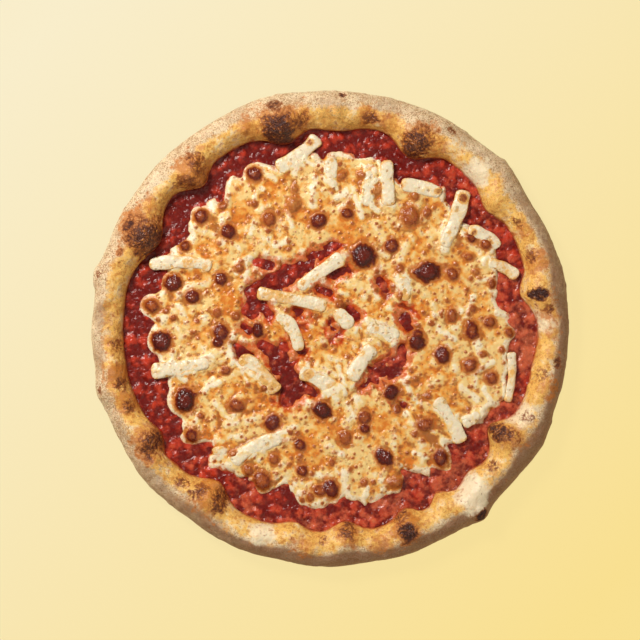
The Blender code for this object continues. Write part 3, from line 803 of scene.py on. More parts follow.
def crust_material(colours):
    """Baked dough: golden inside, floury outside, with toasted patches and crinkled burnt places.

    Each mask sums an attribute and noises, and rises smoothly from 0 to 1 between two limits. The
    leopard spots of the underside are the places near scattered points.
    """
    look = Look(bpy.data.materials.new("baked_crust"))
    across, char, toast, pale, grey_brown_and_painted_shade, stain, under = look.attributes(
        "across", "char", "toast", "pale", "grey_brown_and_painted_shade", "stain", "under"
    )
    broad = look.wave(9 * MM, 4.0, 0.6)
    middle = look.wave(3.2 * MM, 4.0, 0.65)
    crinkle = look.wave(2.6 * MM, 2.0, 0.5)
    grain = look.wave(0.9 * MM, 3.0, 0.7)
    cracks = 0.14 - crinkle.magnitude()
    outside = (across + broad * 0.8 + middle * 0.35).ramp(0.46, 0.68)
    dusting = (broad * 1.4 + middle * 1.2 + grain * 3.0 + 0.55).ramp(0.25, 0.85)
    speckle = (0.0 - grain * 2.0 - middle * 0.8).ramp(0.06, 0.4)
    shell = look.paint(
        colours.dough, (colours.flour, dusting), (SHELL_SPECK, speckle * 0.7)
    )
    creamy = (broad + middle * 0.6).ramp(0.0, 0.16)
    streaks = (0.0 - middle - crinkle * 0.5 - broad * 0.6 - grain * 0.7).ramp(0.0, 0.2)
    inside = look.paint(
        colours.gold, (CREAMY_DOUGH, creamy * 0.8), (DOUGH_STREAK, streaks * 0.75)
    )
    leopard = (broad * 0.5 + middle * 0.5 + 0.36 - look.dots(13 * MM)).ramp(0.0, 0.14)
    baked = char * 1.5 + cracks * 3.2 + middle * 2.0 + under * leopard * 1.1
    flecks = (0.2 + middle * 0.9 - look.dots(3.2 * MM)).ramp(0.0, 0.2)
    tone = look.paint(
        inside,
        (shell, outside),
        # Grey-brown patches of dough, plus painted shade on the outside of the rim away from the light.
        (DULL_DOUGH_AND_PAINTED_SHADE, (grey_brown_and_painted_shade + middle * 1.4 + grain * 1.6).ramp(0.3, 1.0) * 0.75),
        (FLOURY_DOUGH, (pale + middle * 0.9).ramp(0.3, 0.85) * 0.9),
        (colours.toast, (toast * 1.1 + middle * 2.2 + broad * 0.8).ramp(0.3, 0.9) * 0.85),
        (BROWN_BAKE, baked.ramp(0.45, 0.95) * 0.9),
        (DARK_BAKE, baked.ramp(0.9, 1.35)),
        (colours.char, baked.ramp(1.3, 1.75)),
        (SAUCE_STAIN, (stain + middle * 1.2).ramp(0.15, 0.9) * 0.85),
        (DOUGH_FLECK, flecks * (1.0 - outside) * (0.15 + toast * 0.6)),
    )
    skin = look.noise(3.0 * MM, 1.0, 0.5)
    height = skin + char * cracks * -6.0 + crinkle * 0.2 + grain * (0.25 + outside * 0.45)
    return look.finish(
        Base_Color=tone, Roughness=0.42 + outside * 0.35, Normal=look.bump(height, 0.9 * MM, 0.9),
        Subsurface_Weight=0.06, Subsurface_Scale=0.002, Subsurface_Radius=(1.0, 0.5, 0.25),
        Specular_IOR_Level=0.45,
    )


def sauce_material(colours):
    """Cooked tomato: deep red between the pulp, brighter on it, orange where oil gathers, all wet, with
    painted light and painted shade.

    The red rises with the pulp's height plus noises, less a layer that is darker in the middle and
    carries painted shade on the side away from the light. The orange rises with the oil and with painted
    light.
    """
    look = Look(bpy.data.materials.new("tomato_sauce"))
    pulp, oily, dark_middle_and_painted_shade = look.attributes("pulp", "oily", "dark_middle_and_painted_shade")
    broad = look.wave(12 * MM)
    middle = look.wave(4.2 * MM, 4.0, 0.6)
    tone = look.paint(
        colours.sauce_deep,
        # The deep red shows more where painted shade falls, and the orange also carries painted light.
        (colours.sauce_pulp, (pulp * 1.25 + middle * 2.0 + broad - dark_middle_and_painted_shade * 0.35).ramp(0.0, 1.0)),
        (OILY_SAUCE_AND_PAINTED_LIGHT, (oily + pulp * 0.3 + middle * 1.8).ramp(0.55, 1.3) * 0.75),
    )
    skin = look.noise(3.8 * MM, 2.0, 0.5)
    return look.finish(
        Base_Color=tone, Roughness=0.32 + broad * 0.12, Normal=look.bump(skin, 1.4 * MM),
        Subsurface_Weight=0.1, Subsurface_Scale=0.002, Subsurface_Radius=(1.0, 0.25, 0.12),
        Specular_IOR_Level=0.4,
    )


def cheese_material(colours):
    """Melted mozzarella: cream with golden oil, pale ridges, browned spots in orange halos, dark bubbles.

    Each mask sums an attribute and noises, and rises smoothly from 0 to 1 between two limits. Oil and
    browning make it smoother, and a fine crinkle on what is brown breaks up its glints.
    """
    look = Look(bpy.data.materials.new("melted_mozzarella"))
    brown, halo, oil, pale, blush, painted_crease_shade = look.attributes(
        "brown", "halo", "oil", "pale", "blush", "painted_crease_shade"
    )
    middle = look.wave(4 * MM, 4.0, 0.6)
    fine = look.wave(1.6 * MM, 2.0, 0.6)
    soft = look.wave(4.5 * MM, 1.5, 0.5)
    # Painted shade: creases turn more golden and orange, and tops paler, by how far the sheet lies below
    # its surroundings.
    golden = oil + soft * 2.2 + middle * 0.7 + fine * 0.5 + painted_crease_shade * 0.45 + 0.1
    tone = look.paint(
        colours.cream,
        (colours.oil, golden.ramp(0.3, 0.9) * 0.85),
        (ORANGE_OIL, golden.ramp(0.8, 1.35) * 0.88),
        (PALE_CHEESE, (pale - painted_crease_shade * 0.6 + middle * 1.6).ramp(0.45, 1.1) * 0.92),
        # Painted shade darkens the creases.
        (PAINTED_CREASE_SHADE_TONE, (painted_crease_shade + fine * 0.9 + middle * 0.8).ramp(0.35, 1.1) * 0.75),
    )
    reddened = (blush + middle * 2.4 + fine * 0.6).ramp(0.2, 1.0)
    dots = (0.3 + middle * 0.8 - look.dots(3.0 * MM)).ramp(0.0, 0.2)
    specks = (0.15 + middle * 0.6 - look.dots(2.0 * MM)).ramp(0.0, 0.1)
    browning = brown + fine * 0.35
    tone = look.paint(
        look.mix(tone, SAUCE_BLUSH, reddened * 0.95, "MULTIPLY"),
        (BUBBLE_HALO, (halo + fine + middle * 0.6).ramp(0.35, 0.95) * 0.75),
        (BAKED_DOT, dots * 0.5),
        (BAKED_SPECK, specks * 0.55),
        (BUBBLE_RIM, browning.ramp(0.05, 0.3)),
        (colours.spot, browning.ramp(0.22, 0.45)),
        (colours.bubble, browning.ramp(0.42, 0.68)),
        (BUBBLE_HEART, browning.ramp(0.72, 1.0)),
    )
    skin = look.noise(2.8 * MM, 1.0, 0.5)
    crinkle = look.noise(1.4 * MM, 1.5, 0.5)
    height = skin * (0.62 - brown * 0.3) + crinkle * brown * 1.3 - dots * 0.15
    return look.finish(
        Base_Color=tone, Normal=look.bump(height, 0.8 * MM),
        Roughness=0.38 - golden.ramp(0.2, 1.1) * 0.08 - brown.ramp(0.2, 0.7) * 0.19 - middle * 0.08,
        Subsurface_Weight=0.1, Subsurface_Scale=0.003, Subsurface_Radius=(1.0, 0.55, 0.3),
        Specular_IOR_Level=0.5,
    )


def strip_material(colours):
    """Firm mozzarella: ivory, lightly oily, golden at its foot and ends and in small baked dimples; the
    golden foot is partly a painted shade on its sides.

    The browning attribute plus noises passes through golden and brown to the spots' dark tone.
    """
    look = Look(bpy.data.materials.new("firm_mozzarella"))
    (brown,) = look.attributes("brown")
    broad = look.wave(6 * MM)
    fine = look.wave(1.6 * MM, 2.0)
    dimples = (0.27 + broad * 0.9 - look.dots(4.0 * MM)).ramp(0.0, 0.16)
    tone = look.paint(
        colours.strip,
        (colours.cream, (broad * 2.0 + fine * 0.5).ramp(0.0, 0.35) * 0.65),
        (BAKED_DOT, dimples * 0.6),
        (GOLDEN_STRIP, (brown + fine * 0.8 + broad * 1.4).ramp(0.15, 0.8) * 0.85),
        (BROWN_STRIP, (brown + fine * 0.8).ramp(0.8, 1.2) * 0.9),
        (SPOTTED_STRIP, (brown + fine * 0.6).ramp(0.95, 1.35)),
    )
    height = look.noise(3.0 * MM, 1.0, 0.5) - dimples * 0.3
    return look.finish(
        Base_Color=tone, Roughness=0.34 + fine * 0.1, Normal=look.bump(height, 0.9 * MM),
        Subsurface_Weight=0.15, Subsurface_Scale=0.003, Subsurface_Radius=(1.0, 0.65, 0.4),
        Specular_IOR_Level=0.45,
    )


def floor_material(colours):
    """A plain pale floor that deepens evenly from the upper left to the lower right.

    It mostly glows by its own colour and takes little light, which keeps the shadow on it faint.
    """
    look = Look(bpy.data.materials.new("pale_floor"))
    place = look.place()
    share = ((look.axis(place, "X") - look.axis(place, "Y")) * 1.42 + 0.52).clamp()
    tone = look.mix(colours.floor_near, colours.floor_far, share)
    return look.finish(
        Base_Color=look.mix((0.0, 0.0, 0.0), tone, 0.06), Roughness=0.9, Specular_IOR_Level=0.0,
        Emission_Color=tone, Emission_Strength=FLOOR_GLOW,
    )


def mean_section():
    """Rows of the dough's mean section: floor, inner face, shoulder, curve to the foot, underside.

    The rim joins three quarters of ellipses: the radius follows the cosine and the height the sine.
    The middles of the floor and of the underside are left to the poles.
    """
    crown = INNER_RADIUS + RIM_CROWN_SHARE * RIM_WIDTH
    foot = RADIUS - RIM_FOOT_INSET
    face = np.linspace(0.0, math.pi / 2, FACE_ROWS + 1)
    shoulder = np.linspace(math.pi / 2, math.pi, SHOULDER_ROWS + 1)[1:]
    curve = np.linspace(math.pi, 1.5 * math.pi, FOOT_ROWS + 1)[1:]
    floor = np.linspace(0.0, 1.0, FLOOR_ROWS + 1)[1:-1]
    underside = np.linspace(1.0, 0.0, UNDERSIDE_ROWS + 1)[1:-1]
    radius = np.concatenate([
        INNER_RADIUS * floor,
        crown - (crown - INNER_RADIUS) * np.cos(face),
        crown - (RADIUS - crown) * np.cos(shoulder),
        foot - (RADIUS - foot) * np.cos(curve),
        foot * underside,
    ])
    height = np.concatenate([
        np.full_like(floor, DOUGH_THICKNESS),
        DOUGH_THICKNESS + (RIM_HEIGHT - DOUGH_THICKNESS) * np.sin(face),
        RIM_BELLY_HEIGHT + (RIM_HEIGHT - RIM_BELLY_HEIGHT) * np.sin(shoulder),
        RIM_BELLY_HEIGHT * (1.0 + np.sin(curve)),
        np.zeros_like(underside),
    ])
    return radius, height


def grid_normals(places):
    """Unit normals of a grid of places: the cross product of its differences down and along a row."""
    along = np.roll(places, -1, axis=1) - np.roll(places, 1, axis=1)
    down = np.gradient(places, axis=0)
    normals = np.cross(down, along)
    return normals / np.linalg.norm(normals, axis=-1, keepdims=True)


def crust_grid(sizes):
    """The dough's rows of places, their angles, layers of values and heights above the floor.

    The mean section is stretched to each angle's edges and crown. The broad relief lifts the top, and
    the fine relief moves each place along the surface's normal.
    """
    radius, height = mean_section()
    theta = np.linspace(0.0, 2.0 * math.pi, CRUST_TURNS, endpoint=False)
    theta, radius = np.meshgrid(theta, radius)
    height = np.broadcast_to(height[:, None], theta.shape)
    outer, inner = outer_radius(theta), inner_radius(theta)
    across = (radius - INNER_RADIUS) / RIM_WIDTH
    stretched = np.where(
        across < 0.0, radius * inner / INNER_RADIUS, inner + across * (outer - inner)
    )
    x, y = stretched * np.cos(theta), stretched * np.sin(theta)
    above = np.clip(height - DOUGH_THICKNESS, 0.0, None)
    rise = (crown_height(theta) - DOUGH_THICKNESS) / (RIM_HEIGHT - DOUGH_THICKNESS)
    lifted = np.minimum(height, DOUGH_THICKNESS) + above * rise
    relief = ground(x, y, 0.45 * MM, 17 * MM, SEED + 5) + bubble_rise(theta, across)
    lifted = lifted + relief * smooth_step(above / (6 * MM))
    places = np.stack([x, y, lifted], axis=-1)
    fray = 0.3 * clouds(places, 6, 30) + 0.25 * clouds(places, 2.6, 31)
    drop = np.clip((RIM_HEIGHT - height) / RIM_WIDTH, 0.0, 1.0) * smooth_step((across - 0.6) / 0.3)
    baked_side = smooth_step((height - 3 * MM) / (5 * MM))

    def patches(entries):
        """Patches that follow the rim's outside down, where the drop counts as way across."""
        return baked_side * soft_patches(theta, across + 0.8 * drop, entries, fray)

    char = patches(RIM_CHARS)
    blister, drawn = cells(places, 8, 8)
    blister = (1.0 - np.clip(blister / (3.4 * MM), 0.0, 1.0) ** 2) ** 2 * (drawn > 0.45)
    wrinkles = 0.7 * clouds(places, 6, 9) + 0.4 * clouds(places, 2.6, 10)
    fine = sizes.rim_wrinkles * wrinkles
    fine += sizes.rim_blisters * blister * smooth_step(above / (4 * MM))
    fine += sizes.char_grain * char * clouds(places, 2.2, 11)
    on_rim = smooth_step((lifted - 2 * MM) / (5 * MM)) * (across >= 0.0)
    places = places + grid_normals(places) * (fine * on_rim)[..., None]
    under = (height < 1 * MM) & (radius < RADIUS - RIM_FOOT_INSET)
    places[..., 2] += under * UNDERSIDE_RELIEF * (1.0 + clouds(places[..., :2], 9, 42))
    layers = {
        "across": across, "char": char, "toast": patches(RIM_TOASTS), "pale": patches(RIM_PALES),
        "grey_brown_and_painted_shade": patches(RIM_DUSKS),
    }
    return places, theta, layers, above


def crust_piece(sizes, colours):
    """The dough as one closed piece: its rows of places between a pole above and one below.

    The toast has a band inside, the grey-brown layer gets a painted shade on the outer side turned away
    from the light, and the sauce stains the rim's toe by its nearness to the sauce's top.
    """
    places, theta, layers, above = crust_grid(sizes)
    across = layers["across"]
    inside_band = 0.3 * smooth_step((0.5 - across) / 0.3) * (across > 0.0)
    # Painted shade: the outside of the rim is darkened on the side turned away from the key lamp.
    painted_shade = smooth_step(0.5 + 0.6 * np.cos(theta - PAINTED_SHADE_SIDE))
    layers["grey_brown_and_painted_shade"] = np.maximum(layers["grey_brown_and_painted_shade"], smooth_step((across - 0.55) / 0.2) * painted_shade)
    toe = 1.0 - smooth_step((places[..., 2] - SAUCE_TOP) / (6 * MM))
    under = (places[..., 2] < 1.0 * MM) & (above <= 0.0)
    layers["stain"] = toe * (across < 0.2) * (across > -0.1) * ~under
    layers["under"] = 1.0 * under
    toast_under = 0.45 + 0.25 * clouds(places, 15, 13)
    layers["toast"] = np.where(under, toast_under, np.maximum(layers["toast"], inside_band))
    poles = np.array([[0.0, 0.0, DOUGH_THICKNESS], [0.0, 0.0, 0.0]])
    material = crust_material(colours)
    return turned_piece("baked_rim_and_base", places, poles, layers, 0.0, material, "crust")


def sauce_piece(sizes, colours):
    """The sauce: a level layer with pulp as rounded lumps of two sizes, out to just under the rim.

    A lump is one less the squared share of its radius. The edge climbs the rim, less and less with
    the distance from it, as e to the power of minus that distance.
    """
    reach, theta = square_to_disc(SHEET_CELLS)
    radius = reach * (inner_radius(theta) + SAUCE_UNDER_RIM)
    x, y = radius * np.cos(theta), radius * np.sin(theta)
    flat = np.stack([x, y], axis=-1)
    bent = flat + 1.2 * MM * np.stack([clouds(flat, 5, 40), clouds(flat, 5, 41)], axis=-1)
    coarse, drawn = cells(bent, 8.5, 14)
    lump = (1.0 - np.clip(coarse / (5.4 * MM), 0.0, 1.0) ** 2) * (0.3 + 0.7 * drawn)
    small, small_drawn = cells(bent, 4.2, 15)
    grain = (1.0 - np.clip(small / (2.6 * MM), 0.0, 1.0) ** 2) * small_drawn
    pulp = 0.65 * lump + 0.45 * grain
    top = SAUCE_TOP - 0.35 * MM + sizes.sauce_pulp * pulp + 0.25 * MM * clouds(flat, 9, 16)
    meniscus = np.exp(-(inner_radius(theta) - radius) / (1.2 * MM))
    top = top + 0.4 * MM * np.clip(meniscus, 0.0, 1.0)
    # Painted light makes the sauce brighter and oilier toward the lower right, and painted shade darkens
    # the opposite side.
    painted_light = 0.5 * np.cos(theta - PAINTED_LIGHT_SIDE) * reach
    oily = 0.35 + 0.3 * clouds(flat, 18, 32) + painted_light
    dark_middle_and_painted_shade = np.maximum(0.7 * near_middle(radius), -2.0 * painted_light)
    layers = {"pulp": pulp, "oily": oily, "dark_middle_and_painted_shade": dark_middle_and_painted_shade}
    return sheet_piece("tomato_layer", x, y, top, SAUCE_BOTTOM, layers, sauce_material(colours), "sauce")


def turned(x, y, middle_x, middle_y, heading):
    """Each place's distances along and across a heading, from a middle."""
    away_x, away_y = x - middle_x, y - middle_y
    along = away_x * math.cos(heading) + away_y * math.sin(heading)
    across = away_y * math.cos(heading) - away_x * math.sin(heading)
    return along, across


def half_melted_strips(x, y):
    """Drawn half-melted strips: how far each place is outside the nearest, and how near its middle.

    The nearness is one less the squared share of the half width, to the power 1.2, from 0 to 1.
    """
    draw = np.random.default_rng(SEED + 17)
    outside = np.full_like(x, DIAMETER)
    nearness = np.zeros_like(x)
    for _ in range(HALF_MELTED_STRIPS):
        middle_radius = (CHEESE_RADIUS + 1 * MM) * math.sqrt(draw.uniform(0.0, 1.0))
        where = draw.uniform(0.0, 2.0 * math.pi)
        middle = (middle_radius * math.cos(where), middle_radius * math.sin(where))
        along, across = turned(x, y, *middle, draw.uniform(0.0, math.pi))
        past = np.clip(np.abs(along) - draw.uniform(3, 9) * MM, 0.0, None)
        half_width = draw.uniform(2.2, 4.0) * MM
        away = np.hypot(past, across)
        outside = np.minimum(outside, away - half_width)
        share = np.clip(away / half_width / 1.25, 0.0, 1.0)
        nearness = np.maximum(nearness, draw.uniform(0.45, 1.0) * (1.0 - share**2) ** 1.2)
    return outside, nearness


def bubble_shares(x, y, bubbles, fray):
    """For each bubble, the share of the way out to its edge, its size and its darkness.

    Its circle is stretched one way and narrowed the other, and frayed by noise.
    """
    draw = np.random.default_rng(SEED + 36)
    for pixel_x, pixel_y, pixels, darkness in bubbles:
        size = BUBBLE_SIZE_SHARE * pixels * PIXEL
        along, across = turned(x, y, *from_picture(pixel_x, pixel_y), draw.uniform(0.0, math.pi))
        stretch = draw.uniform(1.0, 1.15)
        yield np.hypot(along / stretch, across * stretch) / size * (1.0 + fray), size, darkness


def zone_strength(x, y, zones):
    """The strongest of the soft round zones: e to the power of minus the squared share of its radius."""
    strongest = np.zeros_like(x)
    for pixel_x, pixel_y, pixels in zones:
        middle_x, middle_y = from_picture(pixel_x, pixel_y)
        share = np.hypot(x - middle_x, y - middle_y) / (pixels * PIXEL)
        strongest = np.maximum(strongest, np.exp(-(share**2)))
    return strongest


def blurred(values, passes):
    """Values of a sheet's square grid, each pass averaging every one with its neighbours."""
    side = SHEET_CELLS + 1
    level = values.reshape(side, side)
    for _ in range(passes):
        level = (level + np.roll(level, 1, 0) + np.roll(level, -1, 0)) / 3.0
        level = (level + np.roll(level, 1, 1) + np.roll(level, -1, 1)) / 3.0
    return level.ravel()


def sheet_edge(x, y, flat, theta, radius, outside_strip):
    """How far inside the sheet each place is, in metres; below nothing outside it.

    It is the lesser of the distances from the edge and the gaps, averaged and frayed by noise, with
    half-melted strips poking out, less the narrow peeps, and never short of a ring round a bubble.
    """
    edge = sum(cheese_radius(theta + step) for step in (-0.03, -0.015, 0.0, 0.015, 0.03)) / 5.0
    inside = np.minimum(edge - radius, paths_distance(x, y, CHEESE_GAPS) - 1.0 * MM)
    inside = blurred(inside, 8) + 2.0 * MM * clouds(flat, 9, 33)
    inside = inside + 1.6 * MM * clouds(flat, 3.8, 18)
    peeps = paths_distance(x, y, SAUCE_PEEPS) - 0.4 * MM + 0.9 * MM * clouds(flat, 3.2, 34)
    poking_out = np.minimum(-0.8 * outside_strip, inside + 3 * MM)
    inside = np.minimum(np.maximum(inside, poking_out), peeps)
    for pixel_x, pixel_y, pixels, _ in CHEESE_BUBBLES:
        middle_x, middle_y = from_picture(pixel_x, pixel_y)
        ring = 1.4 * pixels * PIXEL - np.hypot(x - middle_x, y - middle_y)
        inside = np.maximum(inside, np.minimum(ring, inside + 5 * MM))
    return blurred(inside, 2)


def sheet_surface(x, y, flat, inside, ridges, beside_strip, sizes):
    """The sheet's height before its bubbles rise.

    A quarter circle rounds the lip, past which it dives under the sauce, so that the sauce shows
    through the gaps. Inside, it rises slowly, with ridges, lumps and a bed drawn up beside strips.
    """
    lip = np.sqrt(1.0 - np.clip(1.0 - inside / LIP_WIDTH, 0.0, 1.0) ** 2)
    top = SAUCE_TOP - LIP_DEPTH + (CHEESE_EDGE_TOP - SAUCE_TOP + LIP_DEPTH) * lip
    top = top - DIVE_DEPTH * smooth_step(-inside / (1.0 * MM))
    top = top + (CHEESE_TOP - CHEESE_EDGE_TOP) * smooth_step(inside / CHEESE_EDGE_SLOPE)
    lumps = ground(x, y, 0.22 * MM, 24 * MM, SEED + 4) + sizes.cheese_ridges * (ridges - 0.4)
    lumps += 0.25 * MM * clouds(flat, 4, 19) + 0.12 * MM * clouds(flat, 1.8, 20)
    return top + smooth_step(inside / (2 * MM)) * (lumps + STRIP_BED_RISE * beside_strip)


def browned_bubbles(x, y, fray, wrinkle, top, halo):
    """Raises the placed bubbles, and gives the height, the browning, the halos and where bubbles are.

    A dome is one less the squared share of its radius, to the power 0.75. Its browning is darkest at its
    foot and lighter on top: partly a painted shade on its sides and a painted highlight on its top.
    """
    brown, bubbles = np.zeros_like(x), np.zeros_like(x)
    for share, size, darkness in bubble_shares(x, y, CHEESE_BUBBLES + SMALL_BUBBLES, fray):
        dome = (1.0 - np.clip(share, 0.0, 1.0) ** 2) ** 0.75
        top = top + (BUBBLE_RISE_SHARE * size + 0.3 * MM * wrinkle * darkness) * dome
        # Painted highlight and shade: the browning is lighter at the dome's top and darker toward its
        # foot.
        skin = 0.72 + 0.28 * smooth_step((share - 0.25) / 0.5)
        brown = np.maximum(brown, darkness * skin * smooth_step((1.28 - share) / 0.65))
        halo = np.maximum(halo, smooth_step((1.9 - share) / 0.95))
        bubbles = np.maximum(bubbles, smooth_step((1.3 - share) / 0.3))
    return top, brown, halo, bubbles


def browned_spots(flat, clear, fray, top, brown, halo, sizes):
    """Raises drawn spots as low domes where the sheet is clear; the larger a spot, the darker it is."""
    for spacing, chance, smallest, largest, seed in SPOT_KINDS:
        away, drawn = cells(flat, spacing, seed)
        rank = drawn / chance
        share = away / (smallest + (largest - smallest) * rank**1.6) / MM * (1.0 + fray)
        present = (drawn < chance) * clear
        top = top + present * sizes.cheese_spots * (1.0 - np.clip(share, 0.0, 1.0) ** 2)
        brown = np.maximum(brown, present * (0.14 + 0.32 * rank) * smooth_step((1.25 - share) / 0.9))
        halo = np.maximum(halo, 0.7 * present * smooth_step((2.1 - share) / 1.2))
    return top, brown, halo


def sheet_tints(x, y, flat, radius, inside, ridges, top):
    """The sheet's oil, paleness, blush and painted crease shade, each about 0 to 1.

    The painted crease shade is how far the sheet lies below the average round it: it darkens hollows and
    lightens tops. Oil is zones plus noise, off the ridges. The pale is at edges and on ridges, and the
    blush is near gaps in the middle and where the edge is thin.
    """
    zones = zone_strength(x, y, OIL_ZONES)
    patches = 0.35 + 0.35 * clouds(flat, 16, 25) + 0.2 * clouds(flat, 7, 26)
    oil = np.clip(0.75 * zones + patches, 0.0, 1.3) * (1.0 - 0.9 * ridges * (1.0 - 0.5 * zones))
    edge = 1.0 - smooth_step((inside - 1.5 * MM - 2.0 * MM * clouds(flat, 8, 43)) / (3 * MM))
    centre = near_middle(radius)
    blush = centre * (1.0 - smooth_step((inside - 1 * MM) / (5 * MM)))
    thin = (1.0 - smooth_step(inside / (2.4 * MM))) * (0.45 + 0.6 * clouds(flat, 13, 44))
    return {
        "oil": oil,
        "pale": np.maximum(0.65 * edge * (1.0 - 0.7 * centre), ridges * (1.0 - 0.6 * zones)),
        "blush": np.maximum(blush, thin),
        # Painted shade: how far the sheet lies below the average round it.
        "painted_crease_shade": np.clip((blurred(top, 8) - top) / (0.3 * MM), -1.0, 1.5),
    }


def cheese_piece(sizes, colours):
    """The melted sheet: its surface over a disc, with bubbles, spots and the layers of its colours.

    The cheese is drawn up beside a strip by e to the power of minus the distance from it.
    """
    reach, theta = square_to_disc(SHEET_CELLS)
    radius = reach * (cheese_radius(theta) + SHEET_OVERHANG)
    x, y = radius * np.cos(theta), radius * np.sin(theta)
    flat = np.stack([x, y], axis=-1)
    outside_strip, ridges = half_melted_strips(x, y)
    inside = sheet_edge(x, y, flat, theta, radius, outside_strip)
    under_strip = strip_distance(x, y)
    beside_strip = np.exp(-np.clip(under_strip, 0.0, None) / STRIP_BED_REACH)
    top = sheet_surface(x, y, flat, inside, ridges, beside_strip, sizes)
    halo = 0.8 * beside_strip * (0.5 + 0.5 * clouds(flat, 6, 35))
    wrinkle = clouds(flat, 1.7, 21)
    fray = 0.12 * wrinkle + 0.18 * clouds(flat, 5, 22)
    top, brown, halo, bubbles = browned_bubbles(x, y, fray, wrinkle, top, halo)
    clear = (1.0 - bubbles) * smooth_step(under_strip / (1.5 * MM)) * smooth_step(inside / (2 * MM))
    top, brown, halo = browned_spots(flat, clear, fray, top, brown, halo, sizes)
    layers = {"brown": brown, "halo": halo, **sheet_tints(x, y, flat, radius, inside, ridges, top)}
    bottom, material = SAUCE_BOTTOM + 0.2 * MM, cheese_material(colours)
    return sheet_piece("melted_sheet", x, y, top, bottom, layers, material, "cheese")


def strip_grid(number, width, ends, sizes):
    """A softened baton's rows of places along a parabola, sunk in the sheet, and their browning, which at
    the foot is partly a painted shade on the sides.

    Its section is a circle whose cosine and sine are raised to one power and stretched to its width
    and height. It closes at both ends by a rounded curve of the distance from them.
    """
    low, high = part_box(f"mozzarella_strip_{number:02d}")
    draw = np.random.default_rng(SEED + 100 + number)
    melt = draw.uniform(0.0, 1.0)
    share = 0.5 - 0.5 * np.cos(np.linspace(0.0, math.pi, STRIP_STEPS))
    middle = bend_through(*(from_picture(*place) for place in ends), share)
    heading = np.gradient(middle, axis=0)
    heading /= np.linalg.norm(heading, axis=1, keepdims=True)
    sideways = np.stack([heading[:, 1], -heading[:, 0]], axis=1)
    length = np.linalg.norm(np.diff(middle, axis=0), axis=1).sum()
    from_end = np.minimum(share, 1.0 - share) * length / (0.4 * width * MM)
    from_end = np.clip(from_end, 0.0, 1.0)
    close = (1.0 - (1.0 - from_end) ** STRIP_END_POWER) ** (1.0 / STRIP_END_POWER)
    sway = 1.08 + 0.1 * np.sin(share * draw.uniform(4, 8) + draw.uniform(0, 6))
    sway += 0.06 * np.sin(share * draw.uniform(10, 18) + draw.uniform(0, 6))
    around = np.linspace(0.0, 2.0 * math.pi, STRIP_SIDES, endpoint=False)
    squareness = 0.85 + 0.2 * melt
    across = np.sign(np.cos(around)) * np.abs(np.cos(around)) ** squareness
    up = np.sign(np.sin(around)) * np.abs(np.sin(around)) ** squareness
    half_width = 0.5 * width * MM * (close * sway)[:, None]
    bottom = low[2] - sizes.strip_sink
    crest = high[2] - (1.6 + 0.8 * melt) * MM
    half_height = 0.5 * (crest - bottom) * close[:, None]
    x = middle[:, :1] + sideways[:, :1] * half_width * across
    y = middle[:, 1:] + sideways[:, 1:] * half_width * across
    hang = smooth_step((np.hypot(middle[:, 0], middle[:, 1]) - CHEESE_RADIUS) / (8 * MM))
    z = 0.5 * (crest + bottom) - STRIP_HANG * hang[:, None] + half_height * up
    places = np.stack([x, y, z], axis=-1)
    bumps = 0.3 * MM * clouds(places, 5.5, 27) + 0.12 * MM * clouds(places, 2.2, 28)
    places = places + grid_normals(places) * (bumps * close[:, None])[..., None]
    # The foot blends into the sheet's golden tone and is partly a painted shade on the baton's sides.
    foot = 0.7 * smooth_step((0.8 - up) / 0.8) * np.ones_like(places[..., 0])
    ends_share = 0.35 * (1.0 - from_end)[:, None]
    gold = STRIP_GOLD[number - 1]
    brown = foot + ends_share + 0.45 * gold + (0.15 + 0.35 * gold) * clouds(places, 9, 29)
    fray = 0.2 * clouds(places, 3, 37)
    for share, _, darkness in bubble_shares(places[..., 0], places[..., 1], STRIP_SPOTS, fray):
        brown = np.maximum(brown, 1.5 * darkness * smooth_step((1.4 - share) / 0.9))
    return places, np.clip(brown, 0.0, 1.5)


def strip_piece(number, width, ends, sizes, material):
    """A strip as one closed piece: its first and last rows shrink to poles."""
    places, brown = strip_grid(number, width, ends, sizes)
    poles = places[[0, -1]].mean(axis=1)
    layers = {"brown": brown[1:-1]}
    name, node = f"mozzarella_baton_{number:02d}", f"mozzarella_strip_{number:02d}"
    return turned_piece(
        name, places[1:-1], poles, layers, STRIP_END_BROWN, material, node
    )


def make_light(name, place, size, power, tint):
    """A soft square lamp that points at the middle of the pizza."""
    lamp = bpy.data.lights.new(name, "AREA")
    lamp.shape = "SQUARE"
    lamp.size = size
    lamp.energy = power
    lamp.color = tint
    made = bpy.data.objects.new(name, lamp)
    made.location = place
    made.rotation_euler = (-made.location).to_track_quat("-Z", "Y").to_euler()
    made.visible_camera = False
    bpy.context.scene.collection.objects.link(made)


def make_room():
    """The room's light: bright at the horizon and dimmer overhead, so that wet flats stay deep."""
    look = Look(bpy.data.worlds.new("soft_room"), "Background")
    direction = look.node("ShaderNodeTexCoord", output="Generated")
    strength = 0.5 - look.axis(direction, "Z").clamp() * 0.4
    return look.finish(Color=ROOM_TINT, Strength=strength)


def make_camera():
    """A camera straight above, so far up that the picture has hardly any perspective.

    Its lens shows the picture's width at the picture's level, about the top of the cheese.
    """
    camera = bpy.data.cameras.new("picture_camera")
    camera.lens_unit = "MILLIMETERS"
    camera.sensor_width = SENSOR_MILLIMETRES
    camera.lens = camera.sensor_width * (CAMERA_DISTANCE - PICTURE_LEVEL) / (PICTURE_SIDE * PIXEL)
    made = bpy.data.objects.new("picture_camera", camera)
    middle_x, middle_y = from_picture(PICTURE_SIDE / 2, PICTURE_SIDE / 2)
    made.location = (middle_x, middle_y, CAMERA_DISTANCE)
    bpy.context.scene.collection.objects.link(made)
    bpy.context.scene.camera = made


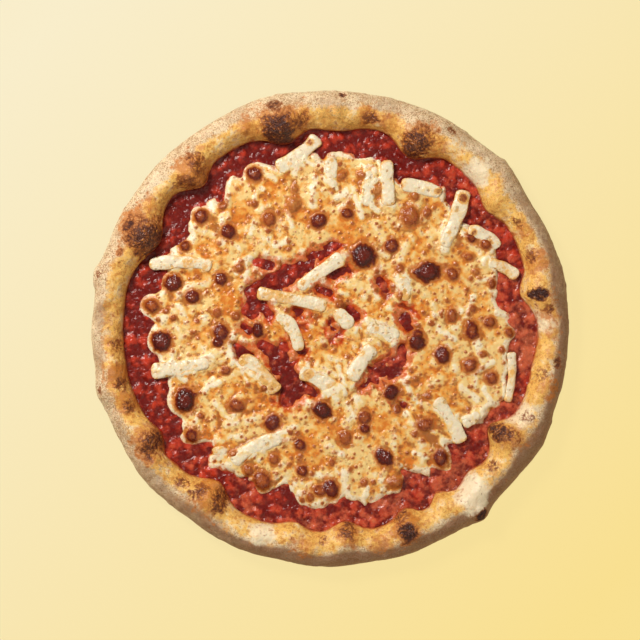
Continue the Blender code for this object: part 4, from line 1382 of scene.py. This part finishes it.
class PIZZA_OT_crust(bpy.types.Operator):
    """Builds the dough with its blistered rim"""

    bl_idname = "pizza.crust"
    bl_label = "Crust"

    def execute(self, context):
        crust_piece(context.scene.pizza_sizes, context.scene.pizza_colours)
        return {"FINISHED"}


class PIZZA_OT_sauce(bpy.types.Operator):
    """Builds the layer of tomato sauce"""

    bl_idname = "pizza.sauce"
    bl_label = "Sauce"

    def execute(self, context):
        sauce_piece(context.scene.pizza_sizes, context.scene.pizza_colours)
        return {"FINISHED"}


class PIZZA_OT_cheese(bpy.types.Operator):
    """Builds the melted sheet of mozzarella with its bubbles"""

    bl_idname = "pizza.cheese"
    bl_label = "Melted cheese"

    def execute(self, context):
        cheese_piece(context.scene.pizza_sizes, context.scene.pizza_colours)
        return {"FINISHED"}


class PIZZA_OT_strips(bpy.types.Operator):
    """Builds the firm strips of mozzarella"""

    bl_idname = "pizza.strips"
    bl_label = "Cheese strips"

    def execute(self, context):
        sizes = context.scene.pizza_sizes
        material = strip_material(context.scene.pizza_colours)
        for number, (width, *ends) in enumerate(STRIPS, start=1):
            strip_piece(number, width, ends, sizes, material)
        return {"FINISHED"}


class PIZZA_OT_stage(bpy.types.Operator):
    """Builds the floor, the light and the camera"""

    bl_idname = "pizza.stage"
    bl_label = "Stage"

    def execute(self, context):
        far = FLOOR_REACH
        mesh = bpy.data.meshes.new("floor")
        corners = [(-far, -far, 0.0), (far, -far, 0.0), (far, far, 0.0), (-far, far, 0.0)]
        mesh.from_pydata(corners, [], [(0, 1, 2, 3)])
        mesh.materials.append(floor_material(context.scene.pizza_colours))
        floor = bpy.data.objects.new("floor", mesh)
        context.scene.collection.objects.link(floor)
        context.scene.world = make_room()
        for lamp in LAMPS:
            make_light(*lamp)
        context.scene.view_settings.view_transform = "Standard"
        make_camera()
        return {"FINISHED"}


class PIZZA_PT_panel(bpy.types.Panel):
    """Lists the pieces of the pizza"""

    bl_label = "Margherita Pizza"
    bl_idname = "PIZZA_PT_panel"
    bl_space_type = "VIEW_3D"
    bl_region_type = "UI"
    bl_category = "Pizza"

    def draw(self, context):
        for operator in OPERATORS:
            self.layout.operator(operator.bl_idname)
        for group in (context.scene.pizza_sizes, context.scene.pizza_colours):
            for key in group.__annotations__:
                self.layout.prop(group, key)


OPERATORS = (PIZZA_OT_crust, PIZZA_OT_sauce, PIZZA_OT_cheese, PIZZA_OT_strips, PIZZA_OT_stage)
CLASSES = (PizzaSizes, PizzaColours, *OPERATORS, PIZZA_PT_panel)


def register():
    """Adds the classes, and the sizes and colours to the scene."""
    for each in CLASSES:
        bpy.utils.register_class(each)
    bpy.types.Scene.pizza_sizes = bpy.props.PointerProperty(type=PizzaSizes)
    bpy.types.Scene.pizza_colours = bpy.props.PointerProperty(type=PizzaColours)


def unregister():
    """Takes the sizes, the colours and the classes away again."""
    del bpy.types.Scene.pizza_colours
    del bpy.types.Scene.pizza_sizes
    for each in reversed(CLASSES):
        bpy.utils.unregister_class(each)


def main():
    """Builds every piece and the stage."""
    register()
    bpy.ops.pizza.crust()
    bpy.ops.pizza.sauce()
    bpy.ops.pizza.cheese()
    bpy.ops.pizza.strips()
    bpy.ops.pizza.stage()


if __name__ == "__main__":
    main()
